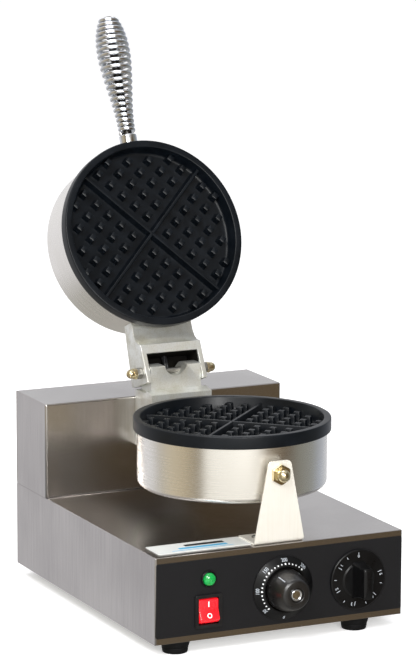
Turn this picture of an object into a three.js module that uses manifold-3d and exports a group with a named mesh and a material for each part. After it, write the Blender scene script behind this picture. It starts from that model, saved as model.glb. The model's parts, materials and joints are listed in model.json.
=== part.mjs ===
// A single-head electric waffle baker: a sheet-metal base with a control panel, a fixed lower plate on a
// front bracket and a hinge casting, and a lid with the upper plate and a coiled-spring handle.
// Millimetres, +Z up, +X to the right seen from the control panel, -Y towards the user.
// Shapes are built in "bench" coordinates: y from the middle of the base, z from the base's underside.
// The lid's pieces are built as if it were shut, and their group turns them open.
import * as THREE from "three";
import { mergeVertices } from "three/addons/utils/BufferGeometryUtils.js";
import Module from "manifold-3d";

const wasm = await Module();
wasm.setup();

// ---- driving dimensions -------------------------------------------------------------------------
const GAP = 0.3; // clearance between neighbouring pieces
const SEAT = 0.1; // clearance between pieces that rest on each other in the base
const SHEET = 1.2; // stainless sheet thickness

const BASE_W = 254;
const BASE_D = 326.8;
const BASE_H = 81.4;
const FRONT_Y = -BASE_D / 2;
const BACK_Y = BASE_D / 2;
const FOOT_H = 12;
const FOOT_PLACES = [
  ["front_left", -100, -148],
  ["front_right", 85, -148],
  ["rear_left", -85, 148],
  ["rear_right", 85, 148],
];

const REAR_D = 74.5; // rear housing behind the hinge
const REAR_H = 92.7;
const REAR_Y = BACK_Y - REAR_D;
const REAR_TOP = BASE_H + REAR_H;

const PAN_Y = -60.6; // centre line of both plates
const SHELL_R = 89.4;
const SHELL_BOTTOM = 117;
const SHELL_EDGE_R = 5.5;
const SHELL_TOP = 169.5;
const RIM_R = 93.2;
const MATING_Z = 181.9; // where the shut plates meet
const CAVITY_R = 86.5;
const CAVITY_DEPTH = 13.5;
const PLATE_FLOOR = 7;
const POST_PITCH = 15.8;
const POST_FIRST = 13.2; // from the cross rib's centre line to the first row of posts
const POST_BASE = 7.6;
const POST_TIP = 6;
const POST_DROP = 5.2; // post tops lie this far below the rim
const POSTS_PER_SIDE = 5;
const RIB_TIP = 2.6;
const RIB_BASE = 4.6;
const RIB_DROP = 5.4;

const HINGE_Y = 74.8;
const HINGE_Z = 199.6;
const LID_OPEN_DEG = 113.4;
const CASTING_HALF = 32;
const TONGUE_HALF = 26.8;
const LEG_INNER = 27.2;
const PIN_R = 3;

const STUD_Z = 146.5; // front stud of the lower plate; the handle is its mirror image in the lid
const STUD_R = 4;
const BRACKET_T = 2;
const BRACKET_FACE_Y = -160.6;
const BRACKET_FOOT_W = 50;
const BRACKET_TOP_W = 24;
const BRACKET_TOP_Z = 159;
const BRACKET_NUT_H = 4;

const HANDLE_Z = 206.5;
const HANDLE_TIP_Y = -289.3;
const GRIP_START_Y = -166;
const GRIP_WIRE_R = 1.8;
const GRIP_TURNS = 21.5;
const GRIP_END_R = 8.6; // outer radius of the coil at both ends
const GRIP_SWELL = 8.7; // added at its thickest place
const NECK_R = 8.7;

const FASCIA_T = 0.8;
const FASCIA_Y = FRONT_Y - SEAT - FASCIA_T; // front face of the control fascia
const SWITCH = { x: -74.5, z: 27.2, frameW: 27, frameH: 31, rockerW: 19.6, rockerR: 12.2 };
const SWITCH_PIVOT_Y = FRONT_Y + 3;
const SWITCH_TILT_DEG = 12;
const LAMP = { x: -74, z: 57.1, r: 7.9 };
const THERMOSTAT = { x: 1.5, z: 40, dialR: 30.5 };
const TIMER = { x: 79, z: 39.6, dialR: 28.5 };
const SHAFT_R = 3;
const KNOB_NOSE_Y = FRONT_Y - 30;
const GLAND = { x: 70, z: 40, r: 8 };

// Facets round a turned piece: pans, dials and knobs, and small fasteners.
const PAN_FACETS = 32;
const DIAL_FACETS = 24;
const SMALL_FACETS = 12;

// ---- geometry helpers ---------------------------------------------------------------------------
function solid(geometry) {
  const plain = geometry.clone();
  plain.deleteAttribute("normal");
  plain.deleteAttribute("uv");
  const merged = mergeVertices(plain, 1e-3);
  return new wasm.Manifold(
    new wasm.Mesh({
      numProp: 3,
      vertProperties: merged.attributes.position.array,
      triVerts: new Uint32Array(merged.index.array),
    }),
  );
}

function geometryOf(manifold) {
  const mesh = manifold.getMesh();
  const geometry = new THREE.BufferGeometry();
  geometry.setAttribute("position", new THREE.BufferAttribute(mesh.vertProperties, 3));
  geometry.setIndex(new THREE.BufferAttribute(mesh.triVerts, 1));
  geometry.computeVertexNormals();
  return geometry;
}

function box(x0, x1, y0, y1, z0, z1) {
  const geometry = new THREE.BoxGeometry(x1 - x0, y1 - y0, z1 - z0);
  return geometry.translate((x0 + x1) / 2, (y0 + y1) / 2, (z0 + z1) / 2);
}

// An outline given as a Shape or as [u, v] points, carried along one axis from one place to another.
function extrude(outline, axis, from, to) {
  const shape = Array.isArray(outline)
    ? new THREE.Shape(outline.map(([u, v]) => new THREE.Vector2(u, v)))
    : outline;
  const options = { depth: to - from, bevelEnabled: false, curveSegments: 4 };
  const geometry = new THREE.ExtrudeGeometry(shape, options);
  const turn = new THREE.Matrix4();
  const [X, Y, Z] = [[1, 0, 0], [0, 1, 0], [0, 0, 1]].map((v) => new THREE.Vector3(...v));
  if (axis === "x") turn.makeBasis(Y, Z, X).setPosition(from, 0, 0);
  if (axis === "y") turn.makeBasis(X, Z, Y.clone().negate()).setPosition(0, to, 0);
  if (axis === "z") turn.makeBasis(X, Y, Z).setPosition(0, 0, from);
  return geometry.applyMatrix4(turn);
}

// A closed profile of [radius, height] points turned about the vertical line through the origin.
function turned(profile, segments) {
  const points = profile.map(([r, h]) => new THREE.Vector2(r, h));
  return new THREE.LatheGeometry(points, segments).rotateX(Math.PI / 2);
}

// The same about a line along Y, with heights measured towards the user (-Y).
function turnedForward(profile, segments, x, z) {
  return turned(profile, segments).rotateX(Math.PI / 2).translate(x, 0, z);
}

function rodY(radius, y0, y1, x, z, segments = SMALL_FACETS) {
  const geometry = new THREE.CylinderGeometry(radius, radius, y1 - y0, segments);
  return geometry.translate(x, (y0 + y1) / 2, z);
}

function rodX(radius, x0, x1, y, z, segments = SMALL_FACETS) {
  const geometry = new THREE.CylinderGeometry(radius, radius, x1 - x0, segments);
  return geometry.rotateZ(Math.PI / 2).translate((x0 + x1) / 2, y, z);
}

function rodZ(radius, z0, z1, x, y, segments = SMALL_FACETS) {
  const geometry = new THREE.CylinderGeometry(radius, radius, z1 - z0, segments);
  return geometry.rotateX(Math.PI / 2).translate(x, y, (z0 + z1) / 2);
}

function polygon(radius, sides) {
  const corners = Array.from({ length: sides }, (_, i) => {
    const angle = (2 * Math.PI * i) / sides;
    return new THREE.Vector2(radius * Math.cos(angle), radius * Math.sin(angle));
  });
  return new THREE.Shape(corners);
}

function tube(points, radius, sides, steps) {
  const section = polygon(radius, sides);
  const path = new THREE.CatmullRomCurve3(points.map((p) => new THREE.Vector3(...p)));
  return new THREE.ExtrudeGeometry(section, { steps, bevelEnabled: false, extrudePath: path });
}

function roundedRectangle(x0, x1, y0, y1, r) {
  const shape = new THREE.Shape();
  shape.moveTo(x0 + r, y0).lineTo(x1 - r, y0).absarc(x1 - r, y0 + r, r, -Math.PI / 2, 0);
  shape.lineTo(x1, y1 - r).absarc(x1 - r, y1 - r, r, 0, Math.PI / 2);
  shape.lineTo(x0 + r, y1).absarc(x0 + r, y1 - r, r, Math.PI / 2, Math.PI);
  shape.lineTo(x0, y0 + r).absarc(x0 + r, y0 + r, r, Math.PI, 1.5 * Math.PI);
  return shape;
}

function cut(body, ...tools) {
  let result = body instanceof wasm.Manifold ? body : solid(body);
  for (const tool of tools) {
    result = result.subtract(tool instanceof wasm.Manifold ? tool : solid(tool));
  }
  return result;
}

function join(...bodies) {
  return bodies
    .map((body) => (body instanceof wasm.Manifold ? body : solid(body)))
    .reduce((sum, body) => sum.add(body));
}

// ---- materials ----------------------------------------------------------------------------------
const material = (color, roughness, metalness) =>
  new THREE.MeshStandardMaterial({ color, roughness, metalness });
const stainless = () => material(0xb9b5ad, 0.32, 1);
const steel = () => material(0x9c9a94, 0.5, 1);
const castAluminium = () => material(0xcfccc2, 0.45, 1);
const nonStick = () => material(0x1c2026, 0.42, 0.2);
const chrome = () => material(0xdfe1e4, 0.12, 1);
const zincPlate = () => material(0xb9a878, 0.25, 1);
const blackPlastic = () => material(0x1b1b1c, 0.4, 0);
const rubber = () => material(0x151515, 0.85, 0);
const fasciaPaint = () => material(0x2b2b2d, 0.5, 0);
const redPlastic = () => material(0xe01522, 0.3, 0);
const greenLens = () => material(0x12a850, 0.15, 0);
const ceramic = () => material(0xe9e4d6, 0.9, 0);
const blackSleeve = () => material(0x101010, 0.6, 0);
const plateWhite = () => material(0xf2f2ef, 0.35, 0);

// ---- assembly helpers ---------------------------------------------------------------------------
const machine = new THREE.Group();
const base = new THREE.Group();
const lid = new THREE.Group();

function add(group, name, shape, finish) {
  const geometry = shape instanceof wasm.Manifold ? geometryOf(shape) : shape;
  const mesh = new THREE.Mesh(geometry, finish);
  mesh.name = name;
  group.add(mesh);
}

// ---- base ---------------------------------------------------------------------------------------
function panelCutouts(clearance) {
  const half = { w: SWITCH.frameW / 2 - 2.5, h: SWITCH.frameH / 2 - 1.9 };
  const [y0, y1] = [FASCIA_Y - 1, FRONT_Y + SHEET + 1];
  return [
    box(
      SWITCH.x - half.w - clearance,
      SWITCH.x + half.w + clearance,
      y0,
      y1,
      SWITCH.z - half.h - clearance,
      SWITCH.z + half.h + clearance,
    ),
    rodY(5 + clearance, y0, y1, LAMP.x, LAMP.z),
    rodY(SHAFT_R + 1, y0, y1, THERMOSTAT.x, THERMOSTAT.z),
    rodY(SHAFT_R + 1, y0, y1, TIMER.x, TIMER.z),
  ];
}

function baseHousing() {
  const w = BASE_W / 2;
  const shell = box(-w, w, FRONT_Y, BACK_Y, 0, BASE_H);
  const inside = box(-w + SHEET, w - SHEET, FRONT_Y + SHEET, BACK_Y - SHEET, -1, BASE_H - SHEET);
  const wiringHole = box(-40, 40, REAR_Y + 20, BACK_Y - 16, BASE_H - 5, BASE_H + 1);
  const glandHole = rodY(GLAND.r + GAP, BACK_Y - 5, BACK_Y + 1, GLAND.x, GLAND.z);
  const screwHoles = BRACKET_SCREWS.map(([x, y]) => rodZ(2.4, BASE_H - 5, BASE_H + 1, x, y, 12));
  return cut(shell, inside, wiringHole, glandHole, ...screwHoles, ...panelCutouts(GAP));
}

function bottomPlate() {
  const [w, d] = [BASE_W / 2 - SHEET - GAP, BASE_D / 2 - SHEET - GAP];
  const plate = box(-w, w, -d, d, GAP, GAP + SHEET);
  const holes = FOOT_PLACES.map(([, x, y]) => rodZ(2.6, -1, 3, x, y, 12));
  for (let i = 0; i < 6; i++) {
    const y = -75 + 30 * i;
    holes.push(box(-35, 35, y, y + 5, -1, 3));
  }
  return cut(plate, ...holes);
}

function foot() {
  const [top, tread, bore, pocket] = [14.2, 11.5, 2.6, 5.2];
  return turned(
    [
      [bore, -FOOT_H + 5],
      [pocket, -FOOT_H + 5],
      [pocket, -FOOT_H],
      [tread - 0.8, -FOOT_H],
      [tread, -FOOT_H + 0.8],
      [top, -SEAT],
      [bore, -SEAT],
      [bore, -FOOT_H + 5],
    ],
    SMALL_FACETS,
  );
}

// A pan-head screw standing on a surface at height 0, its shank below.
function panHead(headR, headH, shankR, length) {
  return turned(
    [
      [0, -length],
      [shankR, -length],
      [shankR, 0],
      [headR, 0],
      [headR * 0.9, headH * 0.7],
      [0, headH],
    ],
    SMALL_FACETS - 2,
  );
}

function controlFascia() {
  const w = BASE_W / 2 - 0.8;
  const outline = roundedRectangle(-w, w, 6, 75.7, 1.5);
  return cut(extrude(outline, "y", FASCIA_Y, FASCIA_Y + FASCIA_T), ...panelCutouts(GAP));
}

// ---- controls -----------------------------------------------------------------------------------
function switchFrame() {
  const { x, z, frameW, frameH, rockerW, rockerR } = SWITCH;
  const [bodyW, bodyH] = [frameW / 2 - 2.5, frameH / 2 - 1.9];
  const front = FASCIA_Y - 2.2;
  const outline = roundedRectangle(x - frameW / 2, x + frameW / 2, z - frameH / 2, z + frameH / 2, 2);
  const flange = extrude(outline, "y", front, FASCIA_Y - SEAT);
  const body = box(x - bodyW, x + bodyW, FASCIA_Y - 1, FRONT_Y + 22, z - bodyH, z + bodyH);
  const [w, h] = [rockerW / 2 + GAP, rockerR + GAP];
  const well = box(x - w, x + w, front - 1, SWITCH_PIVOT_Y + 14, z - h, z + h);
  return cut(join(flange, body), well);
}

// The rocker untilted, its pivot at the origin: a drum about the pivot whose front is two flat faces
// that meet in a shallow V.
function rockerSolid() {
  const { rockerW, rockerR } = SWITCH;
  const tilt = THREE.MathUtils.degToRad(SWITCH_TILT_DEG);
  const middle = 5.8;
  const outline = [[-middle, 0]];
  // Angles are measured from the forward direction (-Y); the corner is where a face meets the arc.
  const corner = Math.acos((middle * Math.cos(tilt)) / rockerR) - tilt;
  const steps = 20;
  for (let i = 0; i <= steps; i++) {
    const angle = corner + ((2 * Math.PI - 2 * corner) * i) / steps;
    outline.push([-rockerR * Math.cos(angle), -rockerR * Math.sin(angle)]);
  }
  const drum = solid(extrude(outline, "x", -rockerW / 2, rockerW / 2));
  return cut(drum, box(-20, 20, 7.5, 20, -20, 20));
}

function lampBody() {
  return turnedForward(
    [
      [0, -FASCIA_Y - 21],
      [4.8, -FASCIA_Y - 21],
      [4.8, -FASCIA_Y + SEAT],
      [LAMP.r, -FASCIA_Y + SEAT],
      [LAMP.r, -FASCIA_Y + 1.2],
      [LAMP.r - 0.8, -FASCIA_Y + 1.8],
      [6.4, -FASCIA_Y + 1.8],
      [6.4, -FASCIA_Y + 0.8],
      [0, -FASCIA_Y + 0.8],
    ],
    SMALL_FACETS + 2,
    LAMP.x,
    LAMP.z,
  );
}

function lampLens() {
  const r = 6.1;
  const from = -FASCIA_Y + 0.8 + SEAT;
  const profile = [
    [0, from],
    [r, from],
    [r, from + 1],
  ];
  const steps = 3;
  for (let i = 1; i <= steps; i++) {
    const angle = (i / steps) * (Math.PI / 2);
    profile.push([i === steps ? 0 : r * Math.cos(angle), from + 1 + 4 * Math.sin(angle)]);
  }
  return turnedForward(profile, SMALL_FACETS + 2, LAMP.x, LAMP.z);
}

// A shallow cone that carries the scale, open in the middle for the knob's skirt.
function thermostatDial() {
  const from = -FASCIA_Y + SEAT;
  const r = THERMOSTAT.dialR;
  const profile = [
    [SHAFT_R + 1, from],
    [r, from],
    [r, from + 1],
    [22.4, from + 6.4],
    [20.6, from + 6.4],
    [20.6, from + 1.2],
    [SHAFT_R + 1, from + 1.2],
    [SHAFT_R + 1, from],
  ];
  return turnedForward(profile, DIAL_FACETS, THERMOSTAT.x, THERMOSTAT.z);
}

// A bell: a straight skirt that draws in more and more towards a flat nose.
function thermostatKnob() {
  const back = -FASCIA_Y + 1.9;
  const nose = -KNOB_NOSE_Y;
  const [skirtR, recessR, recess] = [19.5, 7.2, 2];
  const profile = [
    [SHAFT_R + GAP, back],
    [skirtR, back],
    [skirtR, back + 7],
    [18.6, nose - 14],
    [17.2, nose - 9],
    [15.2, nose - 4],
    [13.8, nose - 1.5],
    [12, nose],
    [recessR, nose],
    [recessR, nose - recess],
    [0, nose - recess],
    [0, nose - 9],
    [SHAFT_R + GAP, nose - 9],
    [SHAFT_R + GAP, back],
  ];
  return turnedForward(profile, DIAL_FACETS, THERMOSTAT.x, THERMOSTAT.z);
}

function thermostatCap() {
  const from = -KNOB_NOSE_Y - 2 + SEAT;
  const profile = [
    [0, from],
    [5.6, from],
    [5.6, from + 1.6],
    [5, from + 2.2],
    [3.8, from + 2.2],
    [3.6, from + 1.8],
    [0, from + 1.9],
  ];
  return turnedForward(profile, SMALL_FACETS, THERMOSTAT.x, THERMOSTAT.z);
}

function shaft(place, tipY) {
  return rodY(SHAFT_R, tipY, FRONT_Y + 15, place.x, place.z);
}

function controlBody(place, halfW, depth) {
  const [y0, y1] = [FRONT_Y + SHEET + 3, FRONT_Y + SHEET + 3 + depth];
  const block = box(place.x - halfW, place.x + halfW, y0, y1, place.z - halfW, place.z + halfW);
  const bush = rodY(7, FRONT_Y + SHEET + SEAT, y0 + 1, place.x, place.z);
  const bore = rodY(SHAFT_R + GAP, FRONT_Y, FRONT_Y + 15.5, place.x, place.z);
  return cut(join(block, bush), bore);
}

function timerKnob() {
  const back = -FASCIA_Y + 0.8;
  const { x, z, dialR } = TIMER;
  const disc = turnedForward(
    [
      [SHAFT_R + GAP, back],
      [dialR, back],
      [dialR, back + 1.6],
      [dialR - 0.8, back + 2.2],
      [16, back + 2.6],
      [15, back + 3.6],
      [0, back + 3.6],
      [0, back + 3],
      [SHAFT_R + GAP, back + 3],
      [SHAFT_R + GAP, back],
    ],
    DIAL_FACETS,
    x,
    z,
  );
  const [top, foot] = [{ w: 4.6, l: 14.5 }, { w: 6.4, l: 17.5 }];
  const rise = 20;
  const grip = new THREE.CylinderGeometry(Math.SQRT1_2, Math.SQRT1_2, rise, 4).rotateY(Math.PI / 4);
  const position = grip.getAttribute("position");
  for (let i = 0; i < position.count; i++) {
    const end = position.getY(i) < 0 ? top : foot;
    position.setX(i, position.getX(i) * 2 * end.w);
    position.setZ(i, position.getZ(i) * 2 * end.l);
  }
  grip.translate(x, -(back + 2.5 + rise / 2), z);
  return cut(join(disc, grip), rodY(SHAFT_R + GAP, -back - 14, -back + 1, x, z));
}

// ---- thermostat's sensor and wiring -------------------------------------------------------------
function capillaryTube() {
  const route = [
    [30.8, PAN_Y, 155.8],
    [36, PAN_Y + 1, 155.8],
    [38, PAN_Y + 10, 155],
    [26, PAN_Y + 36, 153.5],
    [6, PAN_Y + 60, 153],
    [5, 30, 153],
    [5, 70, 153],
    [5, 98, 150],
    [5, 112, 132],
    [5, 120, 95],
    [5, 116, 68],
    [5, 90, 62],
    [4, 30, 62],
    [2, -50, 62],
    [0, -100, 55],
    [0, FRONT_Y + 52, 44],
  ];
  return tube(route, 1.2, 4, 44);
}

function lidCable() {
  const route = [
    [0, 118, 132],
    [-1, 112, 152],
    [-2, 99, 161],
    [-1, 89, 164.5],
    [0, 84, 173],
    [0, 83.2, 183],
    [0, 83.6, 193],
    [0, 87, 202],
    [0, 91.4, 209.5],
    [0, 97.4, 223],
    [0, 103.6, 237.3],
    [0, 108.6, 249],
  ];
  return tube(route, 3, 8, 22);
}

// ---- rear housing -------------------------------------------------------------------------------
const COVER_SCREWS = [
  ["upper_left", -112, REAR_TOP - 9],
  ["upper_right", 112, REAR_TOP - 9],
  ["lower_left", -112, BASE_H + 9],
  ["lower_right", 112, BASE_H + 9],
];
const COVER_Y = BACK_Y - SHEET; // inner face of the rear cover

function rearHousing() {
  const w = BASE_W / 2;
  const shell = box(-w, w, REAR_Y, COVER_Y - SEAT, BASE_H + SEAT, REAR_TOP);
  const top = REAR_TOP - SHEET;
  const inside = box(-w + SHEET, w - SHEET, REAR_Y + SHEET, COVER_Y - SHEET, BASE_H - 1, top);
  const rearOpening = box(-w + 22, w - 22, REAR_Y + 10, BACK_Y + 1, BASE_H - 1, REAR_TOP - 16);
  const cableHole = box(-14, 14, REAR_Y - 1, REAR_Y + 5, 145, 171);
  const screwHoles = COVER_SCREWS.map(([, x, z]) => rodY(2, BACK_Y - 5, BACK_Y + 1, x, z, 10));
  return cut(shell, inside, rearOpening, cableHole, ...screwHoles);
}

function rearCover() {
  const w = BASE_W / 2 - 0.4;
  const plate = box(-w, w, COVER_Y, BACK_Y, BASE_H + 0.5, REAR_TOP - 0.4);
  const holes = COVER_SCREWS.map(([, x, z]) => rodY(2, BACK_Y - 5, BACK_Y + 1, x, z, 10));
  for (let i = 0; i < 6; i++) {
    const x = -62.5 + 25 * i;
    holes.push(box(x - 2.2, x + 2.2, BACK_Y - 5, BACK_Y + 1, 108, 148));
  }
  return cut(plate, ...holes);
}

function cableGland() {
  const y = BACK_Y;
  const { x, z, r } = GLAND;
  const thread = rodY(r, y - SHEET - 10, y + 2, x, z);
  const hexagon = rodY(12, y + SEAT, y + 6, x, z, 6);
  const cap = rodY(9.5, y + 5, y + 16, x, z);
  const bore = rodY(4.2, y - 20, y + 20, x, z);
  return cut(join(thread, hexagon, cap), bore);
}

function glandNut() {
  const { x, z, r } = GLAND;
  const y = BACK_Y - SHEET - SEAT;
  return cut(rodY(12, y - 5, y, x, z, 6), rodY(r + GAP, y - 6, y + 1, x, z));
}

function terminalBlock() {
  const [x0, x1, y0, y1, z0] = [28, 98, 92, 112, GAP + SHEET + SEAT];
  const wells = [];
  for (let i = 0; i < 5; i++) {
    const x = x0 + 7 + 14 * i;
    wells.push(rodZ(3.4, z0 + 10, z0 + 22, x, (y0 + y1) / 2, 10));
  }
  return cut(box(x0, x1, y0, y1, z0, z0 + 18), ...wells);
}

// ---- front bracket ------------------------------------------------------------------------------
const BRACKET_FOOT_TOP = BASE_H + SEAT + BRACKET_T;
const BRACKET_SCREWS = [
  [-14, -139],
  [14, -139],
];

// The front view (a trapezium with rounded shoulders) meets the side view (an angle with a round bend).
function frontBracket() {
  const [foot, top, r] = [BRACKET_FOOT_W / 2, BRACKET_TOP_W / 2, 5];
  const front = new THREE.Shape();
  front.moveTo(-foot, 0).lineTo(foot, 0).lineTo(foot, BASE_H + 4).lineTo(top, BRACKET_TOP_Z - r);
  front.absarc(top - r, BRACKET_TOP_Z - r, r, 0, Math.PI / 2);
  front.absarc(-top + r, BRACKET_TOP_Z - r, r, Math.PI / 2, Math.PI);
  front.lineTo(-foot, BASE_H + 4);
  const z0 = BASE_H + SEAT;
  const bend = 4;
  const inner = bend - BRACKET_T;
  const side = new THREE.Shape();
  side.moveTo(BRACKET_FACE_Y + bend, z0).lineTo(-126, z0).lineTo(-126, z0 + BRACKET_T);
  side.lineTo(BRACKET_FACE_Y + bend, z0 + BRACKET_T);
  side.absarc(BRACKET_FACE_Y + bend, z0 + bend, inner, -Math.PI / 2, -Math.PI, true);
  side.lineTo(BRACKET_FACE_Y + BRACKET_T, 170).lineTo(BRACKET_FACE_Y, 170);
  side.lineTo(BRACKET_FACE_Y, z0 + bend);
  side.absarc(BRACKET_FACE_Y + bend, z0 + bend, bend, Math.PI, 1.5 * Math.PI);
  const plate = solid(extrude(side, "x", -foot, foot)).intersect(solid(extrude(front, "y", -200, -100)));
  const holes = BRACKET_SCREWS.map(([x, y]) => rodZ(2.4, BASE_H - 5, BRACKET_FOOT_TOP + 1, x, y, 12));
  return cut(plate, ...holes, rodY(STUD_R + GAP, -200, -100, 0, STUD_Z));
}

function bracketSpacer() {
  const [y0, y1] = [BRACKET_FACE_Y + BRACKET_T + SEAT, PAN_Y - SHELL_R - SEAT];
  return cut(rodY(7, y0, y1, 0, STUD_Z), rodY(STUD_R + GAP, -200, -100, 0, STUD_Z));
}

function hexNut(acrossFlats, height, bore) {
  const corner = acrossFlats / Math.sqrt(3);
  const blank = solid(rodY(corner, -height, 0, 0, 0, 6));
  const chamfer = turnedForward(
    [
      [0, 0],
      [corner + 1, 0],
      [corner + 1, height - 1.4],
      [corner - 1, height],
      [0, height],
    ],
    SMALL_FACETS + 2,
    0,
    0,
  );
  return cut(blank.intersect(solid(chamfer)), rodY(bore, -height - 1, 1, 0, 0));
}

// A cap nut lying along -Y from 0: a low hexagon and a dome over the end of its stud.
function capNut(acrossFlats, height, bore, hexHeight) {
  const domeR = acrossFlats * 0.46;
  const profile = [
    [0, hexHeight - 1],
    [domeR, hexHeight - 1],
    [domeR, height - domeR],
  ];
  const steps = 3;
  for (let i = 1; i <= steps; i++) {
    const angle = ((i / steps) * Math.PI) / 2;
    const r = i === steps ? 0 : domeR * Math.cos(angle);
    profile.push([r, height - domeR + domeR * Math.sin(angle)]);
  }
  const dome = turnedForward(profile, SMALL_FACETS + 2, 0, 0);
  const hexagon = rodY(acrossFlats / Math.sqrt(3), -hexHeight, 0, 0, 0, 6);
  return cut(join(dome, hexagon), rodY(bore, -height * 0.7, 1, 0, 0));
}

// ---- heated pans --------------------------------------------------------------------------------
const MIRROR_Z = 2 * MATING_Z;

function shellCup() {
  const [bottom, top, r] = [SHELL_BOTTOM, SHELL_TOP - GAP, SHELL_R];
  const profile = [[0, bottom]];
  const steps = 3;
  for (let i = 0; i <= steps; i++) {
    const angle = ((i / steps) * Math.PI) / 2;
    const [out, up] = [SHELL_EDGE_R * Math.sin(angle), SHELL_EDGE_R * (1 - Math.cos(angle))];
    profile.push([r - SHELL_EDGE_R + out, bottom + up]);
  }
  profile.push([r, top], [r - SHEET, top], [r - SHEET, bottom + SHELL_EDGE_R]);
  profile.push([r - SHELL_EDGE_R, bottom + SHEET], [0, bottom + SHEET]);
  return solid(turned(profile, PAN_FACETS)).translate([0, PAN_Y, 0]);
}

function lowerShell() {
  const studHole = rodY(STUD_R + GAP, PAN_Y - SHELL_R - 5, PAN_Y - SHELL_R + 5, 0, STUD_Z);
  const leadHole = rodY(8.2, PAN_Y + SHELL_R - 12, PAN_Y + SHELL_R + 5, 0, 153);
  return cut(shellCup(), studHole, leadHole);
}

function upperShell() {
  const cup = shellCup().mirror([0, 0, 1]).translate([0, 0, MIRROR_Z]);
  const rodHole = rodY(STUD_R + GAP, PAN_Y - SHELL_R - 5, PAN_Y - SHELL_R + 5, 0, HANDLE_Z);
  const leadHole = rodY(6.5, PAN_Y + SHELL_R - 12, PAN_Y + SHELL_R + 5, 0, DUCT_Z);
  return cut(cup, rodHole, leadHole);
}

function post(u, v, height) {
  const side = Math.SQRT1_2; // a four-sided cylinder of radius 1/sqrt2 is 1 mm across its flats
  const frustum = new THREE.CylinderGeometry(POST_TIP * side, POST_BASE * side, height, 4);
  return frustum.rotateY(Math.PI / 4).rotateX(Math.PI / 2).translate(u, v, height / 2);
}

function rib(height) {
  const [tip, foot, half] = [RIB_TIP / 2, RIB_BASE / 2, CAVITY_R + 1];
  const section = [
    [-foot, 0],
    [foot, 0],
    [tip, height],
    [-tip, height],
  ];
  return extrude(section, "x", -half, half);
}

// One quadrant holds the posts whose row and column numbers add up to no more than the side's count.
function postPlaces() {
  const places = [];
  for (let i = 0; i < POSTS_PER_SIDE; i++) {
    for (let j = 0; j < POSTS_PER_SIDE; j++) {
      if (i + j > POSTS_PER_SIDE) continue;
      const [a, b] = [POST_FIRST + POST_PITCH * i, POST_FIRST + POST_PITCH * j];
      for (const [sx, sy] of [[1, 1], [1, -1], [-1, 1], [-1, -1]]) {
        places.push([sx * a, sy * b]);
      }
    }
  }
  return places;
}

// The lower plate with its face at MATING_Z - GAP. The lug underneath takes the front stud.
function gridPlate(studZ) {
  const face = MATING_Z - GAP;
  const floor = face - CAVITY_DEPTH;
  const under = floor - PLATE_FLOOR;
  const skirt = SHELL_R - SHEET - 0.8;
  const body = turned(
    [
      [0, under],
      [skirt, under],
      [skirt, SHELL_TOP],
      [RIM_R, SHELL_TOP],
      [RIM_R, face - 1],
      [RIM_R - 1, face],
      [CAVITY_R, face],
      [CAVITY_R - 2.5, floor],
      [0, floor],
    ],
    PAN_FACETS,
  );
  const height = CAVITY_DEPTH - POST_DROP;
  const ribHeight = CAVITY_DEPTH - RIB_DROP + 0.5;
  let lattice = join(rib(ribHeight), solid(rib(ribHeight)).rotate([0, 0, 90]));
  for (const [u, v] of postPlaces()) lattice = lattice.add(solid(post(u, v, height + 0.5)));
  lattice = lattice.rotate([0, 0, 45]).translate([0, 0, floor - 0.5]);
  const inside = solid(rodZ(CAVITY_R - 0.5, floor - 1, face + 1, 0, 0, PAN_FACETS));
  const plate = join(body, lattice.intersect(inside)).translate([0, PAN_Y, 0]);
  const front = PAN_Y - SHELL_R + SHEET + 2;
  const lug = box(-11, 11, front, front + 16, studZ - 9, under + 1);
  return cut(join(plate, lug), rodY(STUD_R + GAP, front - 5, front + 12.5, 0, studZ));
}

function upperGridPlate() {
  return gridPlate(MIRROR_Z - HANDLE_Z).mirror([0, 0, 1]).translate([0, 0, MIRROR_Z]);
}

// A sheathed element bent into an open ring under the plate, its gap towards the hinge.
function heaterRing() {
  const [r, z] = [60, MATING_Z - GAP - CAVITY_DEPTH - PLATE_FLOOR - 4.2];
  const points = [];
  const steps = 22;
  for (let i = 0; i <= steps; i++) {
    const angle = THREE.MathUtils.degToRad(112 + (316 * i) / steps);
    points.push([r * Math.cos(angle), PAN_Y + r * Math.sin(angle), z]);
  }
  return solid(tube(points, 4, 6, 26));
}

function insulationDisc() {
  const r = SHELL_R - SHEET - 3;
  return solid(rodZ(r, SHELL_BOTTOM + SHELL_EDGE_R, STUD_Z - 10, 0, PAN_Y, 32));
}

function toLid(manifold) {
  return manifold.mirror([0, 0, 1]).translate([0, 0, MIRROR_Z]);
}

function sensorBulb() {
  const [y, z] = [PAN_Y, 155.8];
  return rodX(3, -30, 30, y, z, 12);
}

// ---- hinge --------------------------------------------------------------------------------------
const DUCT_Z = 211; // cable duct through the upper casting, lid shut

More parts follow.
